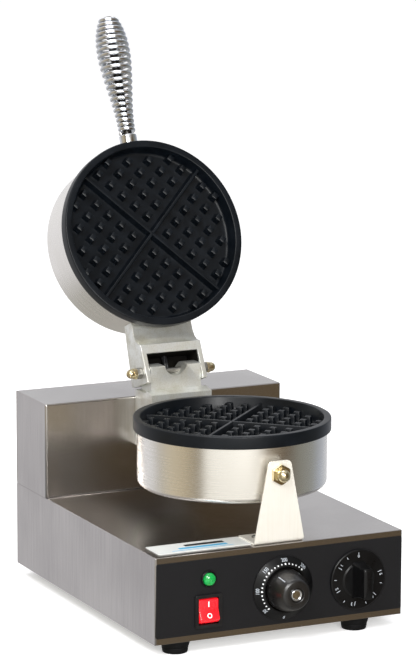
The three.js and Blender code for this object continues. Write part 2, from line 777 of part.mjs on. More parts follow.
function lowerHingeCasting() {
  const side = [
    [49.8, 126],
    [49.8, 181.9],
    [62.5, 184.5],
    [64.5, 181.5],
    [REAR_Y - GAP, 181.2],
    [REAR_Y - GAP, 126],
  ];
  const block = extrude(side, "x", -CASTING_HALF, CASTING_HALF);
  const neck = box(-26, 26, 10, 52, 126, SHELL_TOP - 5);
  const tongueSide = new THREE.Shape();
  tongueSide.moveTo(62.4, 178).lineTo(62.8, 186.5).lineTo(63.6, 190).lineTo(63.6, 207);
  tongueSide.lineTo(78.3, 207).absarc(78.3, 200.5, 6.5, Math.PI / 2, 0, true).lineTo(84.8, 178);
  const tongue = extrude(tongueSide, "x", -TONGUE_HALF, TONGUE_HALF);
  const pan = rodZ(SHELL_R + GAP, 100, 200, 0, PAN_Y, PAN_FACETS);
  const notch = rodY(12, 60, 90, 0, 209, 24);
  const cableSlot = box(-9, 9, 79, 100, 157, 215);
  const leadDuct = rodY(7.5, 0, 100, 0, 153);
  const pinHole = rodX(PIN_R + GAP, -40, 40, HINGE_Y, HINGE_Z);
  return cut(join(block, neck, tongue), pan, notch, cableSlot, leadDuct, pinHole);
}

function upperHingeCasting() {
  const side = new THREE.Shape();
  side.moveTo(12, 203).lineTo(27, 203).quadraticCurveTo(46, 204, 49, 190.3);
  side.lineTo(87, 187.6).lineTo(84.4, 223).quadraticCurveTo(84, 226.5, 80, 226.2);
  side.lineTo(12, 219.5);
  const body = extrude(side, "x", -CASTING_HALF, CASTING_HALF);
  const pan = rodZ(SHELL_R + GAP, 100, 300, 0, PAN_Y, PAN_FACETS);
  const mouth = box(-LEG_INNER, LEG_INNER, 58, 100, 180, 216.5);
  const duct = rodY(5.5, 0, 70, 0, DUCT_Z);
  const pinHole = rodX(PIN_R + GAP, -40, 40, HINGE_Y, HINGE_Z);
  return cut(body, pan, mouth, duct, pinHole);
}

// ---- handle -------------------------------------------------------------------------------------
function handleCore() {
  const rod = rodY(STUD_R, HANDLE_TIP_Y + 4, PAN_Y - SHELL_R + 14, 0, HANDLE_Z);
  const neck = rodY(NECK_R, GRIP_START_Y + GAP, PAN_Y - SHELL_R - GAP, 0, HANDLE_Z, 24);
  const head = rodY(4.8, HANDLE_TIP_Y + 1, HANDLE_TIP_Y + 6, 0, HANDLE_Z);
  return join(rod, neck, head);
}

// Barrel-shaped coil. Along its length s (0 at the tip, 1 at the neck) the outer radius is the end
// radius plus a swell shaped like s^0.9 (1-s)^2.1, and the pitch is widest in the middle.
function gripSpring() {
  const length = GRIP_START_Y - HANDLE_TIP_Y - 2 * GRIP_WIRE_R;
  const stepsPerTurn = 8;
  const count = Math.round(GRIP_TURNS * stepsPerTurn);
  const peak = 0.3 ** 0.9 * 0.7 ** 2.1;
  class Coil extends THREE.Curve {
    getPoint(t, target = new THREE.Vector3()) {
      const s = t - (0.23 * Math.sin(2 * Math.PI * t)) / (2 * Math.PI);
      const swell = (s ** 0.9 * Math.max(1 - s, 0) ** 2.1) / peak;
      const r = GRIP_END_R - GRIP_WIRE_R + GRIP_SWELL * swell;
      const angle = 2 * Math.PI * GRIP_TURNS * t;
      const y = HANDLE_TIP_Y + GRIP_WIRE_R + s * length;
      return target.set(r * Math.cos(angle), y, HANDLE_Z + r * Math.sin(angle));
    }

    getPointAt(t, target) {
      return this.getPoint(t, target);
    }

    getTangentAt(t, target) {
      return this.getTangent(t, target);
    }
  }
  const section = polygon(GRIP_WIRE_R, 5);
  const options = { steps: count, bevelEnabled: false, extrudePath: new Coil() };
  return new THREE.ExtrudeGeometry(section, options);
}

// ---- building -----------------------------------------------------------------------------------
function buildBase() {
  add(base, "base_housing", baseHousing(), stainless());
  add(base, "bottom_plate", bottomPlate(), steel());
  add(base, "control_fascia", controlFascia(), fasciaPaint());
  for (const [name, x, y] of FOOT_PLACES) {
    add(base, `foot_${name}`, foot().translate(x, y, 0), rubber());
    const screw = panHead(4.2, 2.4, 2.2, 12).rotateX(Math.PI).translate(x, y, -FOOT_H + 5 - SEAT);
    add(base, `foot_screw_${name}`, screw, steel());
  }
  const plate = roundedRectangle(-119, -25, -154, -124, 1.5);
  const plateZ = BASE_H + SEAT;
  add(base, "name_plate", extrude(plate, "z", plateZ, plateZ + 0.6), plateWhite());
}

function buildControls() {
  add(base, "switch_frame", switchFrame(), blackPlastic());
  const rocker = rockerSolid().rotate([-SWITCH_TILT_DEG, 0, 0]);
  add(base, "switch_rocker", rocker.translate([SWITCH.x, SWITCH_PIVOT_Y, SWITCH.z]), redPlastic());
  add(base, "lamp_body", lampBody(), blackPlastic());
  add(base, "lamp_lens", lampLens(), greenLens());
  add(base, "thermostat_dial", thermostatDial(), blackPlastic());
  add(base, "thermostat_knob", thermostatKnob(), blackPlastic());
  add(base, "thermostat_knob_cap", thermostatCap(), chrome());
  add(base, "thermostat_shaft", shaft(THERMOSTAT, KNOB_NOSE_Y + 10), steel());
  add(base, "thermostat_body", controlBody(THERMOSTAT, 19, 34), steel());
  add(base, "capillary_tube", capillaryTube(), steel());
  add(base, "sensor_bulb", sensorBulb(), steel());
  add(base, "timer_knob", timerKnob(), blackPlastic());
  add(base, "timer_shaft", shaft(TIMER, FASCIA_Y - 13), steel());
  add(base, "timer_body", controlBody(TIMER, 21, 38), steel());
}

function buildRear() {
  add(base, "rear_housing", rearHousing(), stainless());
  add(base, "rear_cover", rearCover(), stainless());
  for (const [name, x, z] of COVER_SCREWS) {
    const screw = panHead(3.6, 2, 1.6, 7).rotateX(-Math.PI / 2);
    add(base, `cover_screw_${name}`, screw.translate(x, BACK_Y + SEAT, z), steel());
  }
  add(base, "cable_gland", cableGland(), blackPlastic());
  add(base, "gland_nut", glandNut(), blackPlastic());
  add(base, "terminal_block", terminalBlock(), ceramic());
}

function buildLowerPan() {
  add(base, "front_bracket", frontBracket(), stainless());
  BRACKET_SCREWS.forEach(([x, y], i) => {
    const screw = panHead(3.8, 2.2, 2, 8).translate(x, y, BRACKET_FOOT_TOP + SEAT);
    add(base, `bracket_screw_${["left", "right"][i]}`, screw, steel());
  });
  add(base, "bracket_spacer", bracketSpacer(), steel());
  const studEnd = BRACKET_FACE_Y - BRACKET_NUT_H - 5.8;
  add(base, "bracket_stud", rodY(STUD_R, studEnd, PAN_Y - SHELL_R + 14, 0, STUD_Z), steel());
  const hex = hexNut(17, BRACKET_NUT_H, STUD_R + GAP).translate([0, BRACKET_FACE_Y - SEAT, STUD_Z]);
  add(base, "bracket_hex_nut", hex, chrome());
  const capSeat = BRACKET_FACE_Y - BRACKET_NUT_H - 2 * SEAT;
  const cap = capNut(13, 9, STUD_R + GAP, 3.2).translate([0, capSeat, STUD_Z]);
  add(base, "bracket_cap_nut", cap, chrome());
  add(base, "lower_shell", lowerShell(), stainless());
  add(base, "lower_grid_plate", gridPlate(STUD_Z), nonStick());
  add(base, "lower_heater", heaterRing(), steel());
  add(base, "lower_insulation", insulationDisc(), ceramic());
}

function buildHinge() {
  add(base, "lower_hinge_casting", lowerHingeCasting(), castAluminium());
  add(base, "lid_cable", lidCable(), blackSleeve());
  const [face, nutH] = [CASTING_HALF + GAP, 5];
  add(base, "hinge_pin", rodX(PIN_R, -face - 11, face + 11, HINGE_Y, HINGE_Z), steel());
  for (const [name, side] of [["left", -1], ["right", 1]]) {
    // The nuts are drawn along -Y and laid over to point outwards along X.
    const place = (nut, x) => nut.rotate([0, 0, 90 * side]).translate([side * x, HINGE_Y, HINGE_Z]);
    add(base, `hinge_hex_nut_${name}`, place(hexNut(10, nutH, PIN_R + GAP), face), zincPlate());
    const cap = capNut(10, 10, PIN_R + GAP, 3.2);
    add(base, `hinge_cap_nut_${name}`, place(cap, face + nutH + SEAT), zincPlate());
  }
}

function buildLid() {
  add(lid, "upper_shell", upperShell(), stainless());
  add(lid, "upper_grid_plate", upperGridPlate(), nonStick());
  add(lid, "upper_heater", toLid(heaterRing()), steel());
  add(lid, "upper_insulation", toLid(insulationDisc()), ceramic());
  add(lid, "upper_hinge_casting", upperHingeCasting(), castAluminium());
  add(lid, "handle_core", handleCore(), chrome());
  add(lid, "handle_spring_grip", gripSpring(), chrome());
}

buildBase();
buildControls();
buildRear();
buildLowerPan();
buildHinge();
buildLid();

// The lid swings about the hinge pin, and its rest position is fully open.
const lidPivot = new THREE.Group();
lidPivot.position.set(0, HINGE_Y, HINGE_Z);
lidPivot.rotation.x = THREE.MathUtils.degToRad(-LID_OPEN_DEG);
lid.position.set(0, -HINGE_Y, -HINGE_Z);
lidPivot.add(lid);
base.add(lidPivot);

// The part's frame: the floor under the feet, in the middle of the outline with the lid open.
const OUTLINE_MID_Y = 19.92;
base.position.set(0, -OUTLINE_MID_Y, FOOT_H);
machine.add(base);

export default machine;
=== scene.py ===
"""The looks of an electric waffle baker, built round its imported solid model.

Metres, +Z up, -Y towards the user, +X to the right seen from the control panel. Every new surface is worked
out with numpy on a grid of points and stands for the plainer solid of the same part.
"""

import json  # noqa: E402
import math  # noqa: E402
from collections import namedtuple  # noqa: E402

import bmesh  # noqa: E402
import bpy  # noqa: E402
import numpy as np  # noqa: E402
from mathutils import Matrix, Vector  # noqa: E402


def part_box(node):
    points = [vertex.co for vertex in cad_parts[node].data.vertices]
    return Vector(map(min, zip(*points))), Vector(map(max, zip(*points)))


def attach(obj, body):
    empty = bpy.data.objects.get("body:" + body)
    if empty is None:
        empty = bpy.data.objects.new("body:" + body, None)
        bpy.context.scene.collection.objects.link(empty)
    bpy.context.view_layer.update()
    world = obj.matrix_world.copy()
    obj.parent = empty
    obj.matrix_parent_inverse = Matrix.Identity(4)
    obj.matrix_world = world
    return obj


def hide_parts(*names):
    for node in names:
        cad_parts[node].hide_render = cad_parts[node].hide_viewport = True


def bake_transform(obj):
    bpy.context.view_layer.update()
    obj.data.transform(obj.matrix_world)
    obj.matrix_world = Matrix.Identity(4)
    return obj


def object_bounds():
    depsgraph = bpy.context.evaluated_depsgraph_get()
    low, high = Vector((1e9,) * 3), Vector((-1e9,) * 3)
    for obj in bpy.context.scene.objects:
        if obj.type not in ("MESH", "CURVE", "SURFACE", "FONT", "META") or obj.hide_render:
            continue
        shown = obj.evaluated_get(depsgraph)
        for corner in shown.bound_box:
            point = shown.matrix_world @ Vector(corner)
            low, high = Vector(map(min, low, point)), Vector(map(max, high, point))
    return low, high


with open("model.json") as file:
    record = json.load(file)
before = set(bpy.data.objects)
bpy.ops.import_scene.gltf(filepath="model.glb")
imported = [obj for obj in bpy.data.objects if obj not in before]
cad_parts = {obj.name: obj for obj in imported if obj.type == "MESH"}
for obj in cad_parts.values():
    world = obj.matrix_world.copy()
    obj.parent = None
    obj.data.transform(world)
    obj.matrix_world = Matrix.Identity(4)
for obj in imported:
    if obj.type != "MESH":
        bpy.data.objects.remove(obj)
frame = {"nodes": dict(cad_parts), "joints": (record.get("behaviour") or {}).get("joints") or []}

bl_info = {
    "name": "Waffle Baker Looks",
    "version": (1, 0, 0),
    "blender": (4, 5, 0),
    "location": "View3D > Sidebar > Waffle Baker",
    "description": "Builds the surfaces, finishes and studio of a countertop waffle baker",
    "category": "Object",
}

MM = 0.001
FULL_TURN = 2 * math.pi
CAD_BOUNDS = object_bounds()


def box(node):
    """Lowest and highest corner of a solid, as arrays."""
    low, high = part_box(node)
    return np.array(low), np.array(high)


def middle(node):
    low, high = box(node)
    return (low + high) / 2


def joint(name):
    return next(j for j in frame["joints"] if j["name"] == name)


# ---- places read from the solid model --------------------------------------------------------------
GAP = 0.3 * MM  # clearance that the solids keep from each other
PAN = middle("lower_shell")
MATING_Z = box("lower_grid_plate")[1][2] + GAP
HINGE = np.array(joint("lid_hinge")["pos_m"])
LID_OPEN = math.radians(joint("lid_hinge")["range_deg"][1])
FASCIA_Y = box("control_fascia")[0][1]


# ---- surfaces on a grid of points ------------------------------------------------------------------
# A skin is a grid of points. Rows go round the piece and join up when "round" is set; columns go along
# it and join up when "closed" is set. The pattern is what a finish reads in place of the position.
Skin = namedtuple("Skin", "points pattern round closed")
X, Y, Z = np.eye(3)
FORWARD = -Y


def axes_for(axis):
    """Two directions across the axis, so that (across, up, axis) is a right-handed set."""
    axis = np.asarray(axis, float)
    across = Z if abs(axis[0]) > 0.9 else X
    return across, np.cross(axis, across), axis


def placed(across, up, along, at, axis):
    """Point = at + across * first direction + up * second direction + along * axis."""
    u, v, w = axes_for(axis)
    grid = np.stack(np.broadcast_arrays(across, up, along), -1)
    return np.asarray(at) + grid @ np.stack([u, v, w])


def turned(profile, at, axis=Z, segments=96, closed=False):
    """A profile of (radius, height) carried round an axis: across = r cos a, up = r sin a, along = h.
    Its pattern is unrolled: the length along the profile takes the place of the height."""
    profile = np.asarray(profile, float)
    angle = np.arange(segments)[:, None] / segments * FULL_TURN
    radius, height = profile[:, 0], profile[:, 1]
    steps = np.hypot(*np.diff(profile, axis=0).T)
    length = np.concatenate([[0], np.cumsum(steps)])
    points = placed(radius * np.cos(angle), radius * np.sin(angle), height, at, axis)
    reach = radius.max()
    pattern = np.stack(
        np.broadcast_arrays(reach * np.cos(angle), reach * np.sin(angle), length), -1
    )
    return Skin(points, pattern, True, closed)


def stacked(outlines, heights, at, axis=Z):
    """Outlines of shape (round, level, 2) laid at one height per level along an axis."""
    heights = np.broadcast_to(np.asarray(heights, float), outlines.shape[:2])
    points = placed(outlines[..., 0], outlines[..., 1], heights, at, axis)
    local = np.concatenate([outlines, heights[..., None]], -1)
    return Skin(points, local, True, False)


def rounded_rectangle(half_u, half_v, corner, around=32):
    """A circle of the corner's radius, pulled apart to the four corners; sizes may differ by level."""
    angle = (np.arange(around)[:, None] + 0.5) / around * FULL_TURN
    half_u, half_v, corner = np.broadcast_arrays(half_u, half_v, corner)
    u = np.sign(np.cos(angle)) * (half_u - corner) + corner * np.cos(angle)
    v = np.sign(np.sin(angle)) * (half_v - corner) + corner * np.sin(angle)
    return np.stack([u, v], -1)


def hexagon(half_flats, limits, around=72):
    """Distance to a hexagon's side, or the level's limit where that is less, at each angle."""
    angle = np.arange(around)[:, None] / around * FULL_TURN
    sixth = FULL_TURN / 6
    side = half_flats / np.cos((angle + sixth / 2) % sixth - sixth / 2)
    radius = np.minimum(side, np.asarray(limits, float))
    return np.stack([radius * np.cos(angle), radius * np.sin(angle)], -1)


def eased(corners, reach, steps=5, closed=False):
    """A polyline with each corner replaced by a curve: (1-t)^2 a + 2t(1-t) corner + t^2 b, where a and b
    lie at the reach from the corner along its two sides."""
    corners = np.asarray(corners, float)
    before, after = np.roll(corners, 1, 0) - corners, np.roll(corners, -1, 0) - corners
    lengths = [np.linalg.norm(side, axis=1, keepdims=True) + 1e-12 for side in (before, after)]
    reach = np.broadcast_to(np.asarray(reach, float).reshape(-1, 1), (len(corners), 1))
    a, b = (
        corners + side / size * np.minimum(reach, 0.49 * size)
        for side, size in zip((before, after), lengths)
    )
    t = np.linspace(0, 1, steps)[None, :, None]
    curve = (1 - t) ** 2 * a[:, None] + 2 * t * (1 - t) * corners[:, None] + t**2 * b[:, None]
    if closed:
        return curve.reshape(-1, corners.shape[1])
    inner = curve[1:-1].reshape(-1, corners.shape[1])
    return np.vstack([corners[:1], inner, corners[-1:]])


def swept(path, radius, reference, sides=12, cap=0.5):
    """A round section carried along a path, with a domed cap on each end: cap is its height in radii."""
    path = np.asarray(path, float)
    radius = np.broadcast_to(np.asarray(radius, float), len(path))
    tangent = np.gradient(path, axis=0)
    tangent /= np.linalg.norm(tangent, axis=1, keepdims=True)
    side = np.cross(tangent, np.broadcast_to(reference, path.shape))
    side /= np.linalg.norm(side, axis=1, keepdims=True)
    up = np.cross(side, tangent)
    rise = np.linspace(0, math.pi / 2, 5)[:-1]
    head = path[0] - tangent[0] * (radius[0] * cap * np.cos(rise))[:, None]
    tail = path[-1] + tangent[-1] * (radius[-1] * cap * np.cos(rise[::-1]))[:, None]
    line = np.vstack([head, path, tail])
    size = np.concatenate([radius[0] * np.sin(rise), radius, radius[-1] * np.sin(rise[::-1])])
    index = np.clip(np.arange(len(line)) - len(rise), 0, len(path) - 1)
    angle = np.arange(sides)[:, None, None] / sides * FULL_TURN
    ring = np.cos(angle) * up[index] + np.sin(angle) * side[index]
    points = line + size[:, None] * ring
    length = np.concatenate([[0], np.cumsum(np.linalg.norm(np.diff(line, axis=0), axis=1))])
    around = radius.max() * np.concatenate([np.cos(angle), np.sin(angle)], -1)
    around = np.broadcast_to(around, (sides, len(line), 2))
    pattern = np.concatenate([around, np.broadcast_to(length[:, None], (sides, len(line), 1))], -1)
    return Skin(points, pattern, True, False)


def flowing(points, steps=12):
    """Catmull-Rom curve through the points: each span is a cubic set by its two ends and their neighbours."""
    p = np.asarray(points, float)
    p = np.vstack([2 * p[0] - p[1], p, 2 * p[-1] - p[-2]])
    a, b, c, d = p[:-3, None], p[1:-2, None], p[2:-1, None], p[3:, None]
    t = np.linspace(0, 1, steps, endpoint=False)[None, :, None]
    curve = 0.5 * (2 * b + (c - a) * t + (2 * a - 5 * b + 4 * c - d) * t**2 + (3 * b - a - 3 * c + d) * t**3)
    return np.vstack([curve.reshape(-1, p.shape[1]), p[-2]])


def mirrored(skin):
    """The same skin on the other side of the plane where the plates meet, still facing outwards."""
    points = skin.points * [1, 1, -1] + [0, 0, 2 * MATING_Z]
    return skin._replace(points=points[::-1], pattern=skin.pattern[::-1])


def opened(skin):
    """A skin drawn with the lid shut, turned back about the hinge to the lid's resting place."""
    c, s = math.cos(LID_OPEN), math.sin(LID_OPEN)
    turn = np.array([[1, 0, 0], [0, c, s], [0, -s, c]])
    return skin._replace(points=(skin.points - HINGE) @ turn.T + HINGE)


# ---- objects ---------------------------------------------------------------------------------------
def closed_mesh(name, skins, sharp_angle):
    """One mesh from the skins' quads, its poles and seams merged and its corners sharp past the angle."""
    points, patterns, quads, start = [], [], [], 0
    for skin in skins:
        rows, columns = skin.points.shape[:2]
        index = start + np.arange(rows * columns).reshape(rows, columns)
        index = np.vstack([index, index[:1]]) if skin.round else index
        index = np.hstack([index, index[:, :1]]) if skin.closed else index
        corners = [index[:-1, :-1], index[1:, :-1], index[1:, 1:], index[:-1, 1:]]
        quads.append(np.stack(corners, -1).reshape(-1, 4))
        points.append(skin.points.reshape(-1, 3))
        patterns.append(skin.pattern.reshape(-1, 3))
        start += rows * columns
    mesh = bpy.data.meshes.new(name)
    mesh.from_pydata(np.vstack(points).tolist(), [], np.vstack(quads).tolist())
    pattern = mesh.attributes.new("finish", "FLOAT_VECTOR", "POINT")
    pattern.data.foreach_set("vector", np.vstack(patterns).astype(np.float32).ravel())
    merge(mesh)
    mesh.shade_smooth()
    mesh.set_sharp_from_angle(angle=math.radians(sharp_angle))
    return mesh


def merge(mesh, flat=False):
    """Merges doubled vertices, and joins triangles that lie in one plane where flat is set."""
    work = bmesh.new()
    work.from_mesh(mesh)
    bmesh.ops.remove_doubles(work, verts=work.verts, dist=1e-6)
    if flat:
        limit = math.radians(0.6)
        bmesh.ops.dissolve_limit(work, angle_limit=limit, verts=work.verts, edges=work.edges)
    work.to_mesh(mesh)
    work.free()


def show(mesh, material, body, replaces=()):
    """Links a finished mesh as a piece that rides on a body and stands for the named solids."""
    piece = bpy.data.objects.new(mesh.name, mesh)
    bpy.context.scene.collection.objects.link(piece)
    mesh.materials.append(material)
    if body:
        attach(piece, body)
    if replaces:
        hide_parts(*replaces)
    return piece


def made(name, skins, material, body="root", replaces=(), sharp_angle=35):
    return show(closed_mesh(name, skins, sharp_angle), material, body, replaces)


def softened(node, material, radius, body="root", segments=2):
    """A merged copy of a solid whose edges are rounded over, as a folded, cast or moulded edge is."""
    mesh = frame["nodes"][node].data.copy()
    mesh.name = node + "_finished"
    mesh.materials.clear()
    merge(mesh, flat=True)
    mesh.shade_smooth()
    mesh.set_sharp_from_angle(angle=math.radians(32))
    piece = show(mesh, material, body, [node])
    bevel = piece.modifiers.new("Edge", "BEVEL")
    bevel.width = radius
    bevel.segments = segments
    bevel.limit_method = "ANGLE"
    bevel.angle_limit = math.radians(32)
    bevel.harden_normals = True
    return piece


def dress(material, *nodes):
    """Gives solids that stay as they are their finish."""
    for node in nodes:
        mesh = frame["nodes"][node].data
        mesh.materials.clear()
        mesh.materials.append(material)


def printed(outline, at, surface, lift=0.07 * MM):
    """A raised print of an outline (round, 2) about a place (x, z). Its points lie on the surface, a
    function that gives y at any x and z, the edge of the print sinks into it."""
    outline = np.asarray(outline)[:, None] * np.array([0, 1, 1, 0])[None, :, None]
    x, z = outline[..., 0] + at[0], outline[..., 1] + at[1]
    y = surface(x, z) - np.array([-lift, -lift, lift, lift])
    points = np.stack([x, y, z], -1)
    return Skin(points[::-1], points[::-1], True, False)


def turn_flat(outline, turn):
    """An outline turned counter-clockwise by an angle in its own plane."""
    c, s = math.cos(turn), math.sin(turn)
    return outline @ np.array([[c, s], [-s, c]])


def lettering(name, labels, height, surface, material, body, depth=0.12 * MM):
    """Numbers printed on a surface (y as a function of x and z). Each label is a text, its centre (x, z)
    and its turn."""
    points, faces = [], []
    for text, (x, z), turn in labels:
        curve = bpy.data.curves.new(name, "FONT")
        curve.body = text
        curve.align_x, curve.align_y = "CENTER", "CENTER"
        curve.size = height * 1.35
        curve.extrude = depth / 2
        curve.offset = height * 0.012
        curve.resolution_u = 3
        source = bpy.data.objects.new(name, curve)
        flat = bpy.data.meshes.new_from_object(source)
        u, v, w = np.array([p.co for p in flat.vertices]).T
        c, s = math.cos(turn), math.sin(turn)
        start = sum(len(p) for p in points)
        across, upward = x + c * u - s * v, z + s * u + c * v
        points.append(np.stack([across, surface(across, upward) - w, upward], -1))
        faces += [[start + i for i in face.vertices] for face in flat.polygons]
        bpy.data.objects.remove(source)
        bpy.data.meshes.remove(flat)
    mesh = bpy.data.meshes.new(name)
    mesh.from_pydata(np.vstack(points).tolist(), [], faces)
    merge(mesh)
    return show(mesh, material, body)


# ---- finishes --------------------------------------------------------------------------------------
def linear(code):
    """sRGB hex such as "#a09c98" to a linear colour with alpha."""
    srgb = np.array([int(code[i : i + 2], 16) for i in (1, 3, 5)]) / 255
    light = np.where(srgb <= 0.04045, srgb / 12.92, ((srgb + 0.055) / 1.055) ** 2.4)
    return (*light.tolist(), 1.0)


def add_node(tree, kind, settings=None, inputs=None):
    """Adds a node, sets its properties, and gives each socket a value or a link to another socket."""
    made_node = tree.nodes.new("ShaderNode" + kind)
    for key, value in (settings or {}).items():
        setattr(made_node, key, value)
    for key, value in (inputs or {}).items():
        socket = made_node.inputs[key]
        if isinstance(value, bpy.types.NodeSocket):
            tree.links.new(value, socket)
        else:
            socket.default_value = value
    return made_node


def finish(
    name,
    colour,
    second,
    roughness,
    metallic=0.0,
    grain=(1, 1, 1),
    depth=0.02,
    spread=0.06,
    patch=45,
    wave=0.0,
    reads="finish",
    shader=None,
):
    """A surface finish. Grain is the size of its fine marks in mm along the three pattern directions and
    depth their height in mm; patches of the second colour are some `patch` mm across; wave is the height
    in mm of the slow waviness of thin sheet; reads is "finish" for the pattern or "Object"."""
    material = bpy.data.materials.new(name)
    material.use_nodes = True
    tree = material.node_tree
    tree.nodes.clear()
    if reads == "Object":
        place = add_node(tree, "TexCoord").outputs["Object"]
    else:
        place = add_node(tree, "Attribute", {"attribute_name": reads}).outputs["Vector"]
    scale = tuple(1 / (size * MM) for size in grain)
    fine_place = add_node(tree, "Mapping", None, {"Vector": place, "Scale": scale})
    fine = add_node(
        tree,
        "TexNoise",
        None,
        {"Vector": fine_place.outputs[0], "Scale": 1.0, "Detail": 3.0, "Roughness": 0.6},
    ).outputs[0]
    broad = add_node(
        tree,
        "TexNoise",
        None,
        {"Vector": place, "Scale": 1 / (patch * MM), "Detail": 2.0, "Roughness": 0.5},
    ).outputs[0]
    both = add_node(tree, "Mix", {"data_type": "FLOAT"}, {0: 0.4, 2: broad, 3: fine}).outputs[0]
    share = add_node(tree, "MapRange", None, {"Value": both, 1: 0.36, 2: 0.66, 3: 0.0, 4: 1.0})
    colours = add_node(
        tree,
        "Mix",
        {"data_type": "RGBA"},
        {0: share.outputs[0], 6: linear(colour), 7: linear(second)},
    )
    rough = add_node(
        tree,
        "MapRange",
        None,
        {"Value": both, 1: 0.3, 2: 0.7, 3: roughness - spread, 4: roughness + spread},
    )
    normal = add_node(
        tree, "Bump", None, {"Height": fine, "Distance": depth * MM, "Strength": 1.0}
    ).outputs[0]
    if wave:
        normal = add_node(
            tree,
            "Bump",
            None,
            {"Height": broad, "Distance": wave * MM, "Strength": 1.0, "Normal": normal},
        ).outputs[0]
    sockets = {
        "Base Color": colours.outputs[2],
        "Metallic": metallic,
        "Roughness": rough.outputs[0],
        "Normal": normal,
    }
    sockets.update(shader or {})
    surface = add_node(tree, "BsdfPrincipled", None, sockets)
    add_node(tree, "OutputMaterial", None, {"Surface": surface.outputs[0]})
    return material


